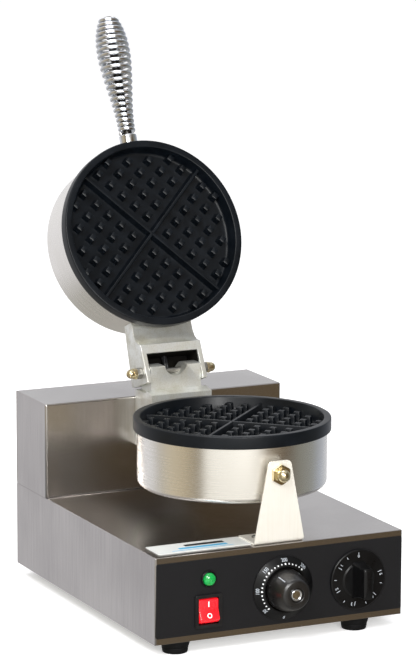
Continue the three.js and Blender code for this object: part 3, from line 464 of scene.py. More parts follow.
def all_finishes(look):
    """Each finish by the name of what the part is made of and how its surface was made."""
    return {
        # Satin-rolled sheet: a faint long grain, and reflections that waver because the sheet is thin.
        "sheet": finish(
            "rolled_stainless_sheet", look.sheet, "#aaa6a4", 0.22, 1.0,
            grain=(1.4, 1.4, 60), depth=0.0012, spread=0.03, patch=90, wave=0.03, reads="Object",
        ),
        # Brushed round on a lathe: fine lines along the rim that spread light into soft upright bands.
        "brushed": finish(
            "lathe_brushed_stainless", look.brushed, "#efebe4", 0.28, 1.0,
            grain=(30, 30, 0.8), depth=0.002, spread=0.06, patch=60, wave=0.01,
        ),
        # Belt-brushed flat bar: a pale, broad sheen with short upright lines.
        "bar": finish(
            "belt_brushed_stainless", "#faf7ef", "#f0ece2", 0.5, 0.65,
            grain=(0.9, 0.9, 35), depth=0.01, spread=0.05, patch=30, reads="Object",
        ),
        # Sand-cast aluminium, milled afterwards: pale grey with a fine uneven tooth.
        "cast": finish(
            "cast_aluminium", look.casting, "#c6c4b8", 0.4, 0.82,
            grain=(1.2, 1.2, 1.2), depth=0.03, spread=0.08, patch=16, reads="Object",
        ),
        # Sprayed non-stick coating, baked on: blue-black, satin, with a slight orange peel.
        "coating": finish(
            "baked_non_stick_coating", look.coating, "#0a0f15", 0.36, 0.0,
            grain=(1.0, 1.0, 1.0), depth=0.014, spread=0.06, patch=22,
            shader={"Specular IOR Level": 0.24},
        ),
        # Nickel-chrome plate over polished steel: nearly a mirror.
        "chrome": finish(
            "chrome_plated_wire", "#e4e6ea", "#d3d5d8", 0.1, 1.0,
            grain=(3, 3, 3), depth=0.002, spread=0.04, patch=12,
        ),
        # Bright zinc with a yellow passivation that shifts from straw to rose.
        "zinc": finish(
            "yellow_passivated_zinc", "#dcd2ae", "#cdbb98", 0.2, 1.0,
            grain=(2, 2, 2), depth=0.004, spread=0.07, patch=4,
        ),
        # Mill-finish steel: dull, grey, with faint drawing lines.
        "steel": finish(
            "drawn_steel", "#a5a39d", "#8b8984", 0.38, 1.0,
            grain=(1, 1, 1), depth=0.008, spread=0.08, patch=14,
        ),
        # Painted shade: matt black with a fine grain and faint patches, laid where the hinge's mouth is in
        # shade.
        "painted_shade": finish(
            "black_painted_shade", "#0b0a09", "#16130f", 0.85, 0.0,
            grain=(1.5, 1.5, 1.5), depth=0.03, spread=0.05, patch=8, reads="Object",
            shader={"Specular IOR Level": 0.1},
        ),
        # Rod inside the spring, its steel coloured near-black as painted shade, so that the gaps between the
        # turns look dark.
        "rod_painted_shade": finish(
            "rod_steel_with_painted_shade", "#3a3836", "#2c2b2a", 0.42, 1.0,
            grain=(1, 1, 1), depth=0.008, spread=0.08, patch=14,
        ),
        "inner_steel": finish(
            "plain_steel", "#98968f", "#807e78", 0.45, 1.0,
            grain=(1.2, 1.2, 1.2), depth=0.01, spread=0.08, patch=18, reads="Object",
        ),
        # Screen-printed film over painted steel: charcoal with a very fine tooth.
        "fascia": finish(
            "printed_control_film", look.fascia, "#121214", 0.4, 0.0,
            grain=(0.9, 0.9, 0.9), depth=0.006, spread=0.05, patch=60, reads="Object",
            shader={"Specular IOR Level": 0.25},
        ),
        # Injection-moulded phenolic: black with a soft eggshell gloss.
        "plastic": finish(
            "moulded_black_phenolic", "#070708", "#0b0b0c", 0.32, 0.0,
            grain=(1.2, 1.2, 1.2), depth=0.006, spread=0.06, patch=15,
            shader={"Specular IOR Level": 0.25},
        ),
        "knob": finish(
            "polished_black_phenolic", "#0f0e0e", "#151312", 0.3, 0.0,
            grain=(1.2, 1.2, 1.2), depth=0.004, spread=0.05, patch=15,
            shader={"Specular IOR Level": 0.7},
        ),
        "plastic_solid": finish(
            "moulded_black_nylon", "#0b0b0d", "#111113", 0.38, 0.0,
            grain=(1.2, 1.2, 1.2), depth=0.01, spread=0.06, patch=15, reads="Object",
        ),
        # Translucent red polycarbonate, polished in the mould, with a faint painted glow from a small
        # emission.
        "red": finish(
            "red_polycarbonate_painted_glow", look.rocker, "#d8101d", 0.26, 0.0,
            grain=(3, 3, 3), depth=0.003, spread=0.04, patch=12,
            shader={"Emission Color": linear("#ff1424"), "Emission Strength": 0.1, "Coat Weight": 0.3},
        ),
        # Clear green acrylic with a pattern of small prisms that break up the light.
        "green": finish(
            "green_acrylic_jewel", look.lamp, "#067a32", 0.12, 0.0,
            grain=(2.4, 2.4, 2.4), depth=0.35, spread=0.04, patch=5,
            shader={"Emission Color": linear("#0ec45a"), "Emission Strength": 0.02, "Coat Weight": 0.8},
        ),
        # Pad-printed ink: flat white with a slightly uneven edge.
        "ink": finish(
            "white_printing_ink", "#e9ecec", "#c9cdd0", 0.6, 0.0,
            grain=(0.6, 0.6, 0.6), depth=0.004, spread=0.05, patch=3, reads="Object",
        ),
        "grey_ink": finish(
            "grey_printing_ink", "#a9aeb4", "#9a9fa6", 0.6, 0.0,
            grain=(0.6, 0.6, 0.6), depth=0.004, spread=0.05, patch=3, reads="Object",
        ),
        # Stoved white enamel on thin aluminium.
        "plate": finish(
            "stoved_white_enamel", "#d9dbd8", "#d0d3d2", 0.32, 0.0,
            grain=(1.5, 1.5, 1.5), depth=0.004, spread=0.05, patch=20, reads="Object",
        ),
        "blue_ink": finish(
            "blue_printing_ink", "#4fa9d2", "#46a0ca", 0.4, 0.0,
            grain=(0.8, 0.8, 0.8), depth=0.003, spread=0.05, patch=6,
        ),
        "dark_ink": finish(
            "black_printing_ink", "#17191b", "#1f2224", 0.4, 0.0,
            grain=(0.8, 0.8, 0.8), depth=0.003, spread=0.05, patch=6,
        ),
        # Moulded rubber: nearly matt, with a bloom of grey.
        "rubber": finish(
            "moulded_rubber", "#060607", "#0c0c0d", 0.7, 0.0,
            grain=(1, 1, 1), depth=0.03, spread=0.08, patch=6,
            shader={"Specular IOR Level": 0.15},
        ),
        # Extruded silicone sleeve on the heater's leads: dark with a soft gloss.
        "sleeve": finish(
            "silicone_cable_sleeve", "#141416", "#202024", 0.4, 0.0,
            grain=(4, 4, 1.2), depth=0.03, spread=0.06, patch=8,
        ),
        # Pressed steatite: matt off-white with fine specks.
        "ceramic": finish(
            "pressed_steatite", "#e6e0d0", "#d5cebb", 0.8, 0.0,
            grain=(1, 1, 1), depth=0.04, spread=0.06, patch=12, reads="Object",
        ),
    }


FINISH = {}


# ---- sizes and colours that a user may change ------------------------------------------------------
def length(name, description, millimetres):
    return bpy.props.FloatProperty(
        name=name, description=description, default=millimetres * MM, min=0.0, unit="LENGTH", precision=4
    )


def hex_colour(name, description, code):
    return bpy.props.StringProperty(name=name, description=description, default=code, maxlen=7)


class WaffleBakerSizes(bpy.types.PropertyGroup):
    """Edge radii and small details that the solid model leaves plain."""

    sheet_fold: length("Sheet fold", "Radius of the housings' folded corners", 1.8)
    sheet_edge: length("Sheet edge", "Radius on cut sheet edges", 0.3)
    casting_edge: length("Casting edge", "Radius on the hinge castings' edges", 0.9)
    moulded_edge: length("Moulded edge", "Radius on moulded plastic edges", 0.8)
    pan_edge: length("Pan edge", "Radius between a pan's wall and its floor", 5.5)
    cavity_depth: length("Cavity depth", "From the plate's rim to its floor", 13.5)
    cavity_radius: length("Cavity radius", "Radius of the batter space", 86.5)
    post_pitch: length("Post pitch", "Distance between neighbouring posts", 15.8)
    post_first: length("First post", "From the cross rib to the first row of posts", 13.2)
    post_base: length("Post base", "Width of a post at the floor", 7.6)
    post_tip: length("Post tip", "Width of a post at its top", 6.0)
    post_drop: length("Post drop", "Post tops below the plate's rim", 5.2)
    rib_drop: length("Rib drop", "Rib tops below the plate's rim", 5.4)
    wire: length("Grip wire", "Radius of the handle's spring wire", 2.05)
    print_height: length("Printed figures", "Height of the figures on the dials", 3.9)
    posts_per_side: bpy.props.IntProperty(
        name="Posts per side", description="Rows of posts along each cross rib", default=5, min=1, max=8
    )
    grip_turns: bpy.props.FloatProperty(
        name="Grip turns", description="Turns of the handle's spring", default=21.5, min=1.0
    )


class WaffleBakerColours(bpy.types.PropertyGroup):
    """Colours of the finishes, as sRGB hex."""

    sheet: hex_colour("Sheet", "Rolled stainless sheet of the base", "#bcb8b5")
    brushed: hex_colour("Pans", "Brushed stainless of the pans", "#f6f3ee")
    casting: hex_colour("Castings", "Cast aluminium of the hinge", "#e6e8e6")
    coating: hex_colour("Coating", "Non-stick coating of the plates", "#05080c")
    fascia: hex_colour("Fascia", "Control panel", "#161618")
    rocker: hex_colour("Rocker", "Power switch rocker", "#f01a26")
    lamp: hex_colour("Lamp", "Pilot lamp lens", "#0a9040")


def sizes():
    return bpy.context.scene.waffle_baker_sizes


# ---- base ------------------------------------------------------------------------------------------
class WAFFLEBAKER_OT_sheet_metal(bpy.types.Operator):
    """Base, rear housing and control panel in folded sheet, and the name plate"""

    bl_idname = "wafflebaker.sheet_metal"
    bl_label = "Sheet metal"

    def execute(self, context):
        edge = sizes().sheet_edge
        for node in ("base_housing", "rear_housing"):
            piece = softened(node, FINISH["sheet"], sizes().sheet_fold, segments=4)
            self.fold_corners(piece)
        softened("rear_cover", FINISH["sheet"], edge)
        softened("control_fascia", FINISH["fascia"], edge)
        softened("name_plate", FINISH["plate"], edge / 2)
        self.name_plate_stripes()
        dress(FINISH["inner_steel"], "bottom_plate")
        return {"FINISHED"}

    def fold_corners(self, piece):
        """Bevels only the edges along the outside corners: those that lie in two outer faces at once."""
        mesh = piece.data
        count = len(mesh.vertices)
        place = np.empty(count * 3, np.float32)
        mesh.vertices.foreach_get("co", place)
        place = place.reshape(-1, 3)
        ends = np.empty(len(mesh.edges) * 2, np.int32)
        mesh.edges.foreach_get("vertices", ends)
        ends = ends.reshape(-1, 2)
        low, high = place.min(0), place.max(0)
        outer = np.stack([abs(place[:, 0]) > high[0] - 1e-5, place[:, 1] < low[1] + 1e-5,
                          place[:, 2] > high[2] - 1e-5, place[:, 1] > high[1] - 1e-5], -1)
        shared = (outer[ends[:, 0]] & outer[ends[:, 1]]).sum(1) >= 2
        weight = mesh.attributes.new("bevel_weight_edge", "FLOAT", "EDGE")
        weight.data.foreach_set("value", shared.astype(np.float32))
        piece.modifiers["Edge"].limit_method = "WEIGHT"

    def name_plate_stripes(self):
        """A dark bar, a pale blue bar and a thin line, plain and without words."""
        low, high = box("name_plate")
        centre, top = (low + high) / 2, high[2]
        half_width = (high[0] - low[0]) / 2
        bars = (("dark", 5.0, 0.42, 3.0, 0.16, "dark_ink"), ("blue", -3.4, 0.52, 2.6, 0.06, "blue_ink"),
                ("line", -9.4, 0.66, 0.6, 0.0, "blue_ink"))
        for name, offset, half_u, half_v, shift, ink in bars:
            outline = rounded_rectangle(half_u * half_width, half_v * MM, 0.5 * MM, 16)
            flat = np.concatenate([outline * 0, outline, outline, outline * 0], 1)
            at = [centre[0] + shift * half_width, centre[1] + offset * MM, top]
            stripe = stacked(flat, np.array([-0.02, -0.02, 0.05, 0.05]) * MM, at)
            made("name_plate_" + name, [stripe], FINISH[ink], "root")


class WAFFLEBAKER_OT_feet(bpy.types.Operator):
    """Rubber feet and their screws"""

    bl_idname = "wafflebaker.feet"
    bl_label = "Feet"

    def execute(self, context):
        for place in ("front_left", "front_right", "rear_left", "rear_right"):
            self.foot(place)
            self.screw(place)
        return {"FINISHED"}

    def foot(self, place):
        """A tapered cup with a rounded tread, a groove round its waist and a pocket for the screw."""
        low, high = box("foot_" + place)
        centre, top, radius = (low + high) / 2, high[2] - low[2], (high[0] - low[0]) / 2
        tread, bore, pocket, waist = 11.5 * MM, 2.6 * MM, 5.2 * MM, 0.45 * top
        corners = [
            [bore, 5 * MM], [pocket, 5 * MM], [pocket, 0], [tread, 0],
            [tread + 0.9 * MM, waist - 0.8 * MM], [tread + 0.5 * MM, waist],
            [tread + 1.3 * MM, waist + 0.8 * MM], [radius, top - 0.6 * MM], [radius, top], [bore, top],
        ]
        profile = eased(corners, 0.7 * MM, closed=True)
        skin = turned(profile, [centre[0], centre[1], low[2]], segments=48, closed=True)
        made("rubber_foot_" + place, [skin], FINISH["rubber"], "root", ["foot_" + place])

    def screw(self, place):
        node = "foot_screw_" + place
        low, high = box(node)
        at = [*((low + high) / 2)[:2], high[2] - 12 * MM]
        head = {"head": (high[0] - low[0]) / 2, "rise": 2.4 * MM, "shank": 2.2 * MM, "length": 12 * MM}
        skin = screw_skin(at, -Z, **head)
        made(node + "_turned", [skin], FINISH["steel"], "root", [node])


def screw_skin(at, axis, head, rise, shank, length):
    """A pan-head screw: the head is a dome with a cross sunk into it, depth falling off at the cross's
    edge and end; the shank runs the other way from the seat."""
    shape = np.array(
        [[0, -length], [shank, -length], [shank, 0], [head, 0], [head, 0.35 * rise]]
        + [[head * math.cos(a), rise * (0.35 + 0.65 * math.sin(a))] for a in np.linspace(0.3, 1.25, 5)]
        + [[head * s, rise] for s in (0.24, 0.16, 0.08, 0)]
    )
    skin = turned(shape, at, axis, segments=48)
    angle = np.arange(48)[:, None] / 48 * FULL_TURN
    radius, height = shape[:, 0], shape[:, 1]
    narrow = np.minimum(abs(radius * np.cos(angle)), abs(radius * np.sin(angle)))
    inside = np.clip(1.6 - narrow / (0.1 * head), 0, 1) * np.clip(4 - radius / (0.16 * head), 0, 1)
    sunk = np.where(height > 0.5 * rise, 0.45 * rise * inside, 0)
    points = skin.points - sunk[..., None] * np.asarray(axis)
    return skin._replace(points=points)


class WAFFLEBAKER_OT_rear(bpy.types.Operator):
    """Cover screws, cable gland and the parts inside the housings"""

    bl_idname = "wafflebaker.rear"
    bl_label = "Rear fittings"

    def execute(self, context):
        for place in ("upper_left", "upper_right", "lower_left", "lower_right"):
            node = "cover_screw_" + place
            low, high = box(node)
            at = [(low[0] + high[0]) / 2, high[1] - 2 * MM, (low[2] + high[2]) / 2]
            skin = screw_skin(at, Y, head=(high[0] - low[0]) / 2, rise=2 * MM, shank=1.6 * MM, length=7 * MM)
            made(node + "_turned", [skin], FINISH["steel"], "root", [node])
        self.gland()
        dress(FINISH["plastic_solid"], "gland_nut")
        dress(FINISH["ceramic"], "terminal_block", "lower_insulation", "upper_insulation")
        inner = ["thermostat_body", "timer_body", "capillary_tube", "sensor_bulb"]
        dress(FINISH["inner_steel"], *inner, "lower_heater", "upper_heater")
        return {"FINISHED"}

    def gland(self):
        """A hexagon against the housing and a ribbed cap: radius = cap * (1 + 2% of a 24-fold wave)."""
        low, high = box("cable_gland")
        x, z = (low[0] + high[0]) / 2, (low[2] + high[2]) / 2
        wall = box("base_housing")[1][1]
        half_flats, cap, bore, thread = 10.4 * MM, 9.3 * MM, 4.2 * MM, 7.8 * MM
        limits = np.array([bore, thread, thread, 11.2 * MM, 12 * MM, 12 * MM, 11.2 * MM, cap])
        nut = hexagon(half_flats, limits)
        proud = np.array([0, 0.6, 5.2, 6, 6]) * MM
        nut_heights = np.concatenate([[low[1], low[1], wall], wall + proud])
        angle = np.arange(72)[:, None] / 72 * FULL_TURN
        length_out = high[1] - wall
        sizes_out = np.array([cap, cap, cap, 0.9 * cap, 0.72 * cap, bore, bore])
        rib = 1 + 0.02 * np.cos(24 * angle) * np.array([0, 1, 1, 0.4, 0, 0, 0])
        ring = np.stack([np.cos(angle) * sizes_out * rib, np.sin(angle) * sizes_out * rib], -1)
        fractions = np.array([0.38, 0.42, 0.82, 0.95, 1.0, 1.0, 0.0])
        cap_heights = wall + fractions * length_out
        cap_heights[-1] = low[1]
        outlines = np.concatenate([nut, ring], 1)
        skin = stacked(outlines, np.concatenate([nut_heights, cap_heights]), [x, 0, z], Y)
        skin = skin._replace(closed=True)
        made("cable_gland_moulded", [skin], FINISH["plastic"], "root", ["cable_gland"])


# ---- controls --------------------------------------------------------------------------------------
class WAFFLEBAKER_OT_switch(bpy.types.Operator):
    """Power switch: bezel, rocker and its two marks"""

    bl_idname = "wafflebaker.switch"
    bl_label = "Power switch"

    def execute(self, context):
        low, high = box("switch_frame")
        centre = (low + high) / 2
        softened("switch_frame", FINISH["plastic_solid"], sizes().moulded_edge, segments=3)
        self.rocker()
        return {"FINISHED"}

    def rocker(self):
        """A drum about the pivot whose front is two flat faces that meet in a shallow V. Its outline is
        eased at the corners and carried across the width, drawn in a little at both cheeks."""
        pivot = np.array(joint("power_switch")["pos_m"])
        swing = math.radians(joint("power_switch")["range_deg"][1]) / 2
        low, high = box("switch_rocker")
        half_width = (high[0] - low[0]) / 2
        drum, valley = 12.2 * MM, 5.8 * MM
        corner = math.acos(valley * math.cos(swing) / drum) - swing
        back = np.linspace(corner, FULL_TURN - corner, 18)
        arc = np.stack([drum * np.cos(back), drum * np.sin(back)], -1)
        outline = np.vstack([[[valley, 0]], arc])
        outline[:, 0] = np.maximum(outline[:, 0], -7 * MM)
        reach = np.full(len(outline), 0.5 * MM)
        reach[0] = 3 * MM
        reach[[1, -1]] = 0.9 * MM
        smooth = eased(outline, reach, closed=True)
        # The first coordinate points to the user and the second up, tilted with the top pressed in.
        c, s = math.cos(swing), math.sin(swing)
        front, up = smooth[:, 0] * c - smooth[:, 1] * s, smooth[:, 0] * s + smooth[:, 1] * c
        outline = np.stack([front, up], -1)
        middle_point = outline.mean(0)
        eased_in = half_width - 0.3 * MM
        levels = [(0, half_width), (0.94, half_width), (0.985, eased_in), (1, half_width - 1 * MM)]
        shrink = [f for f, _ in levels] + [f for f, _ in levels[::-1]]
        across = [-w for _, w in levels] + [w for _, w in levels[::-1]]
        grid = middle_point + (outline - middle_point)[:, None] * np.array(shrink)[None, :, None]
        x, y, z = pivot[0] + np.array(across), pivot[1] - grid[..., 0], pivot[2] + grid[..., 1]
        points = np.stack(np.broadcast_arrays(x, y, z), -1)
        skin = Skin(points[::-1], points[::-1] - pivot, True, False)
        body = "power_rocker"
        made("switch_rocker_moulded", [skin], FINISH["red"], body, ["switch_rocker"], 40)
        self.marks(pivot, swing, valley, body)

    def marks(self, pivot, swing, valley, body):
        """A stroke on the upper face and a ring on the lower one, each laid on its own flat face."""
        marks = []
        for up, tilt in ((1, 0.0), (-1, 2 * swing)):
            # Each face leaves the valley at the swing angle; at rest the upper one stands upright.
            along = np.array([0, math.sin(tilt), math.cos(tilt)]) * up
            out = np.array([0, -math.cos(tilt), math.sin(tilt)])
            c, s = math.cos(swing), math.sin(swing)
            start = pivot + [0, -valley * c, valley * s]
            at = start + along * 5.4 * MM + out * 0.02 * MM
            if up == 1:
                outline = rounded_rectangle(0.55 * MM, 2.6 * MM, 0.3 * MM, 16)
                flat = np.concatenate([outline * 0, outline, outline, outline * 0], 1)
                local = np.array([-0.1, -0.1, 0.06, 0.06]) * MM
            else:
                angle = np.arange(40)[:, None] / 40 * FULL_TURN
                ring = np.array([1.5, 2.4, 2.4, 1.5]) * MM
                flat = np.stack([ring * np.cos(angle), ring * np.sin(angle)], -1)
                local = np.array([-0.1, -0.1, 0.06, 0.06]) * MM
            points = at + flat[..., :1] * X + flat[..., 1:] * (along * up) + local[:, None] * out
            marks.append(Skin(points, points - at, True, up == -1))
        made("switch_marks", marks, FINISH["ink"], body)


class WAFFLEBAKER_OT_lamp(bpy.types.Operator):
    """Pilot lamp"""

    bl_idname = "wafflebaker.lamp"
    bl_label = "Pilot lamp"

    def execute(self, context):
        low, high = box("lamp_body")
        at = [(low[0] + high[0]) / 2, FASCIA_Y, (low[2] + high[2]) / 2]
        rim = (high[0] - low[0]) / 2
        shank, seat = 4.8 * MM, 6.4 * MM
        depth = FASCIA_Y - high[1]
        corners = [
            [0, depth], [shank, depth], [shank, 0.1 * MM], [rim, 0.1 * MM], [rim, 1.3 * MM],
            [rim - 0.8 * MM, 1.8 * MM], [seat, 1.8 * MM], [seat, 0.8 * MM], [0, 0.8 * MM],
        ]
        ring = turned(eased(corners, 0.35 * MM), at, FORWARD, 64)
        made("lamp_ring", [ring], FINISH["plastic"], "root", ["lamp_body"])
        lens_low, _ = box("lamp_lens")
        radius, rise = 6.1 * MM, FASCIA_Y - lens_low[1] - 1.9 * MM
        arc = np.linspace(0, math.pi / 2, 9)
        dome = np.stack([radius * np.cos(arc), 1.9 * MM + rise * np.sin(arc)], -1)
        profile = np.vstack([[[0, 0.9 * MM], [radius, 0.9 * MM]], dome])
        lens = turned(profile, at, FORWARD, 48)
        made("lamp_jewel", [lens], FINISH["green"], "root", ["lamp_lens"], 60)
        return {"FINISHED"}


def on_dial(centre, radius, clock_angle):
    """A point on a dial at an angle in radians, counted clockwise from straight up."""
    return (centre[0] + radius * math.sin(clock_angle), centre[2] + radius * math.cos(clock_angle))


class WAFFLEBAKER_OT_thermostat(bpy.types.Operator):
    """Thermostat knob, its cap and pointer line, and the printed dial behind it"""

    bl_idname = "wafflebaker.thermostat"
    bl_label = "Thermostat"

    def execute(self, context):
        low, high = box("thermostat_dial")
        centre = (low + high) / 2
        self.back, self.rise = high[1], high[1] - low[1]
        self.outer, self.inner = (high[0] - low[0]) / 2, 22.4 * MM
        self.dial(centre)
        self.scale(centre)
        self.knob(centre)
        dress(FINISH["inner_steel"], "thermostat_shaft")
        return {"FINISHED"}

    def dial(self, centre):
        """A shallow cone that climbs from a thin rim to a ring, open in the middle for the knob."""
        bore, well, rim, floor = 4 * MM, 20.6 * MM, 1 * MM, 1.2 * MM
        corners = [
            [bore, 0], [self.outer, 0], [self.outer, rim], [self.inner, self.rise], [well, self.rise],
            [well, floor], [bore, floor],
        ]
        reach = np.array([0.1, 0.3, 0.4, 1.2, 0.5, 0.3, 0.1]) * MM
        profile = eased(corners, reach, closed=True)
        disc = turned(profile, [centre[0], self.back, centre[2]], FORWARD, 96, True)
        made("thermostat_dial_cone", [disc], FINISH["plastic"], "root", ["thermostat_dial"])

    def cone(self, centre):
        """The cone's surface: y falls in step with the distance from the dial's edge."""

        def surface(x, z):
            radius = np.hypot(x - centre[0], z - centre[2])
            share = np.clip((self.outer - radius) / (self.outer - self.inner), 0, 1)
            return self.back - 1 * MM - share * (self.rise - 1 * MM)

        return surface

    def scale(self, centre):
        """A dot every 10 degrees of heat, larger every 50, clockwise from 50 to 250. The whole turn spans
        300 degrees of heat, and 0 is at the bottom."""
        dots, labels = [], []
        per_degree = math.radians(270) / 300
        surface = self.cone(centre)
        circle = np.arange(10) / 10 * FULL_TURN
        ring = np.stack([np.cos(circle), np.sin(circle)], -1)
        for heat in range(50, 251, 10):
            clock = math.pi + heat * per_degree
            size = (0.85 if heat % 50 == 0 else 0.66) * MM
            dots.append(printed(ring * size, on_dial(centre, 23.9 * MM, clock), surface))
        for heat in range(0, 251, 50):
            clock = math.pi + heat * per_degree
            labels.append((str(heat), on_dial(centre, 27.1 * MM, clock), -clock))
        made("thermostat_dots", dots, FINISH["ink"], "root")
        height = 0.78 * sizes().print_height
        lettering("thermostat_figures", labels, height, surface, FINISH["grey_ink"], "root")

    def knob(self, centre):
        """A bell turned from a smooth curve through its skirt, shoulder and nose, with a sunk ring for
        the cap."""
        low, high = box("thermostat_knob")
        skirt, recess = (high[0] - low[0]) / 2, 7.2 * MM
        length, sink, bore = high[1] - low[1], 2 * MM, 3.3 * MM
        shoulder = [[skirt, 0.5 * MM], [skirt, 4.5 * MM], [skirt - 0.1 * MM, 8.5 * MM]]
        for radius, short in ((18.6, 14), (17.2, 9), (15.4, 4.3), (14.2, 1.8), (13.1, 0.6), (12, 0.1)):
            shoulder.append([radius * MM, length - short * MM])
        wall = flowing(shoulder, 5)
        nose = [[recess + 0.4 * MM, length], [recess, length - 0.35 * MM], [recess, length - sink]]
        inside = [[0, length - sink], [0, length - 9 * MM], [bore, length - 9 * MM]]
        profile = np.vstack([[[bore, 0], [skirt - 0.5 * MM, 0]], wall, nose, inside])
        at = [centre[0], high[1], centre[2]]
        skin = turned(profile, at, FORWARD, 96, closed=True)
        body = "thermostat_dial_knob"
        made("thermostat_bell", [skin], FINISH["knob"], body, ["thermostat_knob"], 40)
        self.pointer(at, wall, length, body)
        self.cap(at, length - sink, body)

    def pointer(self, at, wall, length, body):
        """A printed line that lies on the shoulder, a little above half past ten."""
        clock = -math.radians(38)
        along = np.linspace(length - 15 * MM, length - 5 * MM, 12)
        radius = np.interp(along, wall[:, 1], wall[:, 0]) + 0.05 * MM
        path = np.stack(
            [at[0] + radius * math.sin(clock), at[1] - along, at[2] + radius * math.cos(clock)], -1
        )
        outward = np.array([math.sin(clock), 0, math.cos(clock)])
        line = swept(path, 0.1 * MM, outward, 8)
        side = np.cross(outward, Y)
        offset = (line.points - np.pad(path, ((4, 4), (0, 0)), "edge")) @ side
        stretch = 3.5
        widened = line.points + offset[..., None] * side * stretch
        made("thermostat_pointer", [line._replace(points=widened)], FINISH["grey_ink"], body)

    def cap(self, at, seat, body):
        """A pressed metal cap: a raised bead round a dished middle."""
        rim = 5.5 * MM
        arc = np.linspace(-0.2, math.pi + 0.4, 9)
        bead_r, lift = 0.75 * MM, seat + 1.35 * MM
        bead = np.stack([rim - bead_r + bead_r * np.cos(arc), lift + bead_r * np.sin(arc)], -1)
        dish = np.array([[3.2 * MM, seat + 1.0 * MM], [1.6 * MM, seat + 1.15 * MM], [0, seat + 1.2 * MM]])
        profile = np.vstack([[[0, seat + 0.1 * MM], [rim, seat + 0.1 * MM]], bead, dish])
        skin = turned(profile, at, FORWARD, 64)
        made("thermostat_cap", [skin], FINISH["chrome"], body, ["thermostat_knob_cap"], 60)


class WAFFLEBAKER_OT_timer(bpy.types.Operator):
    """Timer dial with its grip bar and printed minutes"""

    bl_idname = "wafflebaker.timer"
    bl_label = "Timer"

    def execute(self, context):
        low, high = box("timer_knob")
        centre = (low + high) / 2
        radius, back, bore = (high[0] - low[0]) / 2, high[1], 3.3 * MM
        hub, rise = 16 * MM, 3.5 * MM
        corners = [
            [bore, 0], [radius, 0], [radius, 1.5 * MM], [radius - 0.9 * MM, 2.15 * MM],
            [hub + 0.4 * MM, 2.5 * MM], [hub - 0.6 * MM, rise], [0, rise],
        ]
        inside = [[0, 2.9 * MM], [bore, 2.9 * MM]]
        at = [centre[0], back, centre[2]]
        profile = np.vstack([eased(corners, 0.45 * MM), inside])
        disc = turned(profile, at, FORWARD, 96, closed=True)
        grip = self.grip(at, rise, back - low[1])
        body = "timer_dial_knob"
        made("timer_dial", [disc, grip], FINISH["plastic"], body, ["timer_knob"], 40)
        self.minutes(centre, lambda x, z: np.full_like(x, back - 2.35 * MM), body)
        dress(FINISH["inner_steel"], "timer_shaft")
        return {"FINISHED"}

    def grip(self, at, start, end):
        """A bar whose half width and half length fall off from a flared foot to a rounded top."""
        t = np.array([0, 0.02, 0.1, 0.25, 0.5, 0.75, 0.9, 0.97, 1.0, 1.0])
        flare = (1 - t) ** 3
        half_width = (4.9 + 2.3 * flare) * MM
        half_length = (14.6 + 2.6 * flare) * MM
        trim = np.array([0, 0, 0, 0, 0, 0, 0, 0.25, 1.0, 4.9]) * MM
        corner = np.maximum(2.4 * MM - trim * 0.4, 0)
        half_width, half_length = half_width - trim, half_length - trim
        half_length[-1] = corner[-1] = half_width[-1] = 0
        outlines = rounded_rectangle(half_width, half_length, corner, 40)
        heights = start - 0.6 * MM + t * (end - start + 0.6 * MM)
        return stacked(outlines, heights, at, FORWARD)

    def minutes(self, centre, face, body):
        """Half minutes from 0 at the top, counter-clockwise: long strokes and figures at whole minutes."""
        ticks, labels = [], []
        step = math.radians(28.5)
        for half in range(1, 11):
            clock = -half * step
            whole = half % 2 == 0
            inner, outer = (20.8, 25.0) if whole else (23.2, 25.4)
            outline = rounded_rectangle(0.27 * MM, (outer - inner) / 2 * MM, 0.12 * MM, 12)[:, 0]
            at = on_dial(centre, (inner + outer) / 2 * MM, clock)
            ticks.append(printed(turn_flat(outline, -clock), at, face))
            if whole:
                labels.append((str(half // 2), on_dial(centre, 23.4 * MM, clock + 0.14), -clock))
        stroke = rounded_rectangle(0.2 * MM, 0.9 * MM, 0.1 * MM, 12)[:, 0]
        ticks.append(printed(stroke, on_dial(centre, 25.2 * MM, 0), face))
        labels.append(("0", on_dial(centre, 22.4 * MM, 0), 0))
        made("timer_strokes", ticks, FINISH["grey_ink"], body)
        lettering("timer_figures", labels, 0.78 * sizes().print_height, face, FINISH["grey_ink"], body)


# ---- front bracket ---------------------------------------------------------------------------------
def nut_skin(at, axis, flats, height, dome=0.0, bore=0.0):
    """A hexagon with turned corners, and a dome on it where it is a cap nut. The radius at each level is
    the hexagon's side or that level's limit, whichever is less."""
    half = flats / 2
    corner = flats / math.sqrt(3)
    ease = 0.12 * height
    levels = [[bore, 0], [0.93 * corner, 0], [corner * 1.01, ease]]
    if dome:
        hex_top = 0.34 * height
        arc = np.linspace(0, math.pi / 2, 10)
        rise = height - hex_top
        straight = max(rise - dome, 0.05 * height)
        levels += [[corner * 1.01, hex_top - ease], [0.93 * corner, hex_top], [dome, hex_top]]
        levels += [[dome * math.cos(a), hex_top + straight + (rise - straight) * math.sin(a)] for a in arc]
    else:
        levels += [[corner * 1.01, height - ease], [0.93 * corner, height], [bore, height]]
    limits, heights = np.array(levels).T
    skin = stacked(hexagon(half, limits), heights, at, axis)
    return skin._replace(closed=bore > 0)


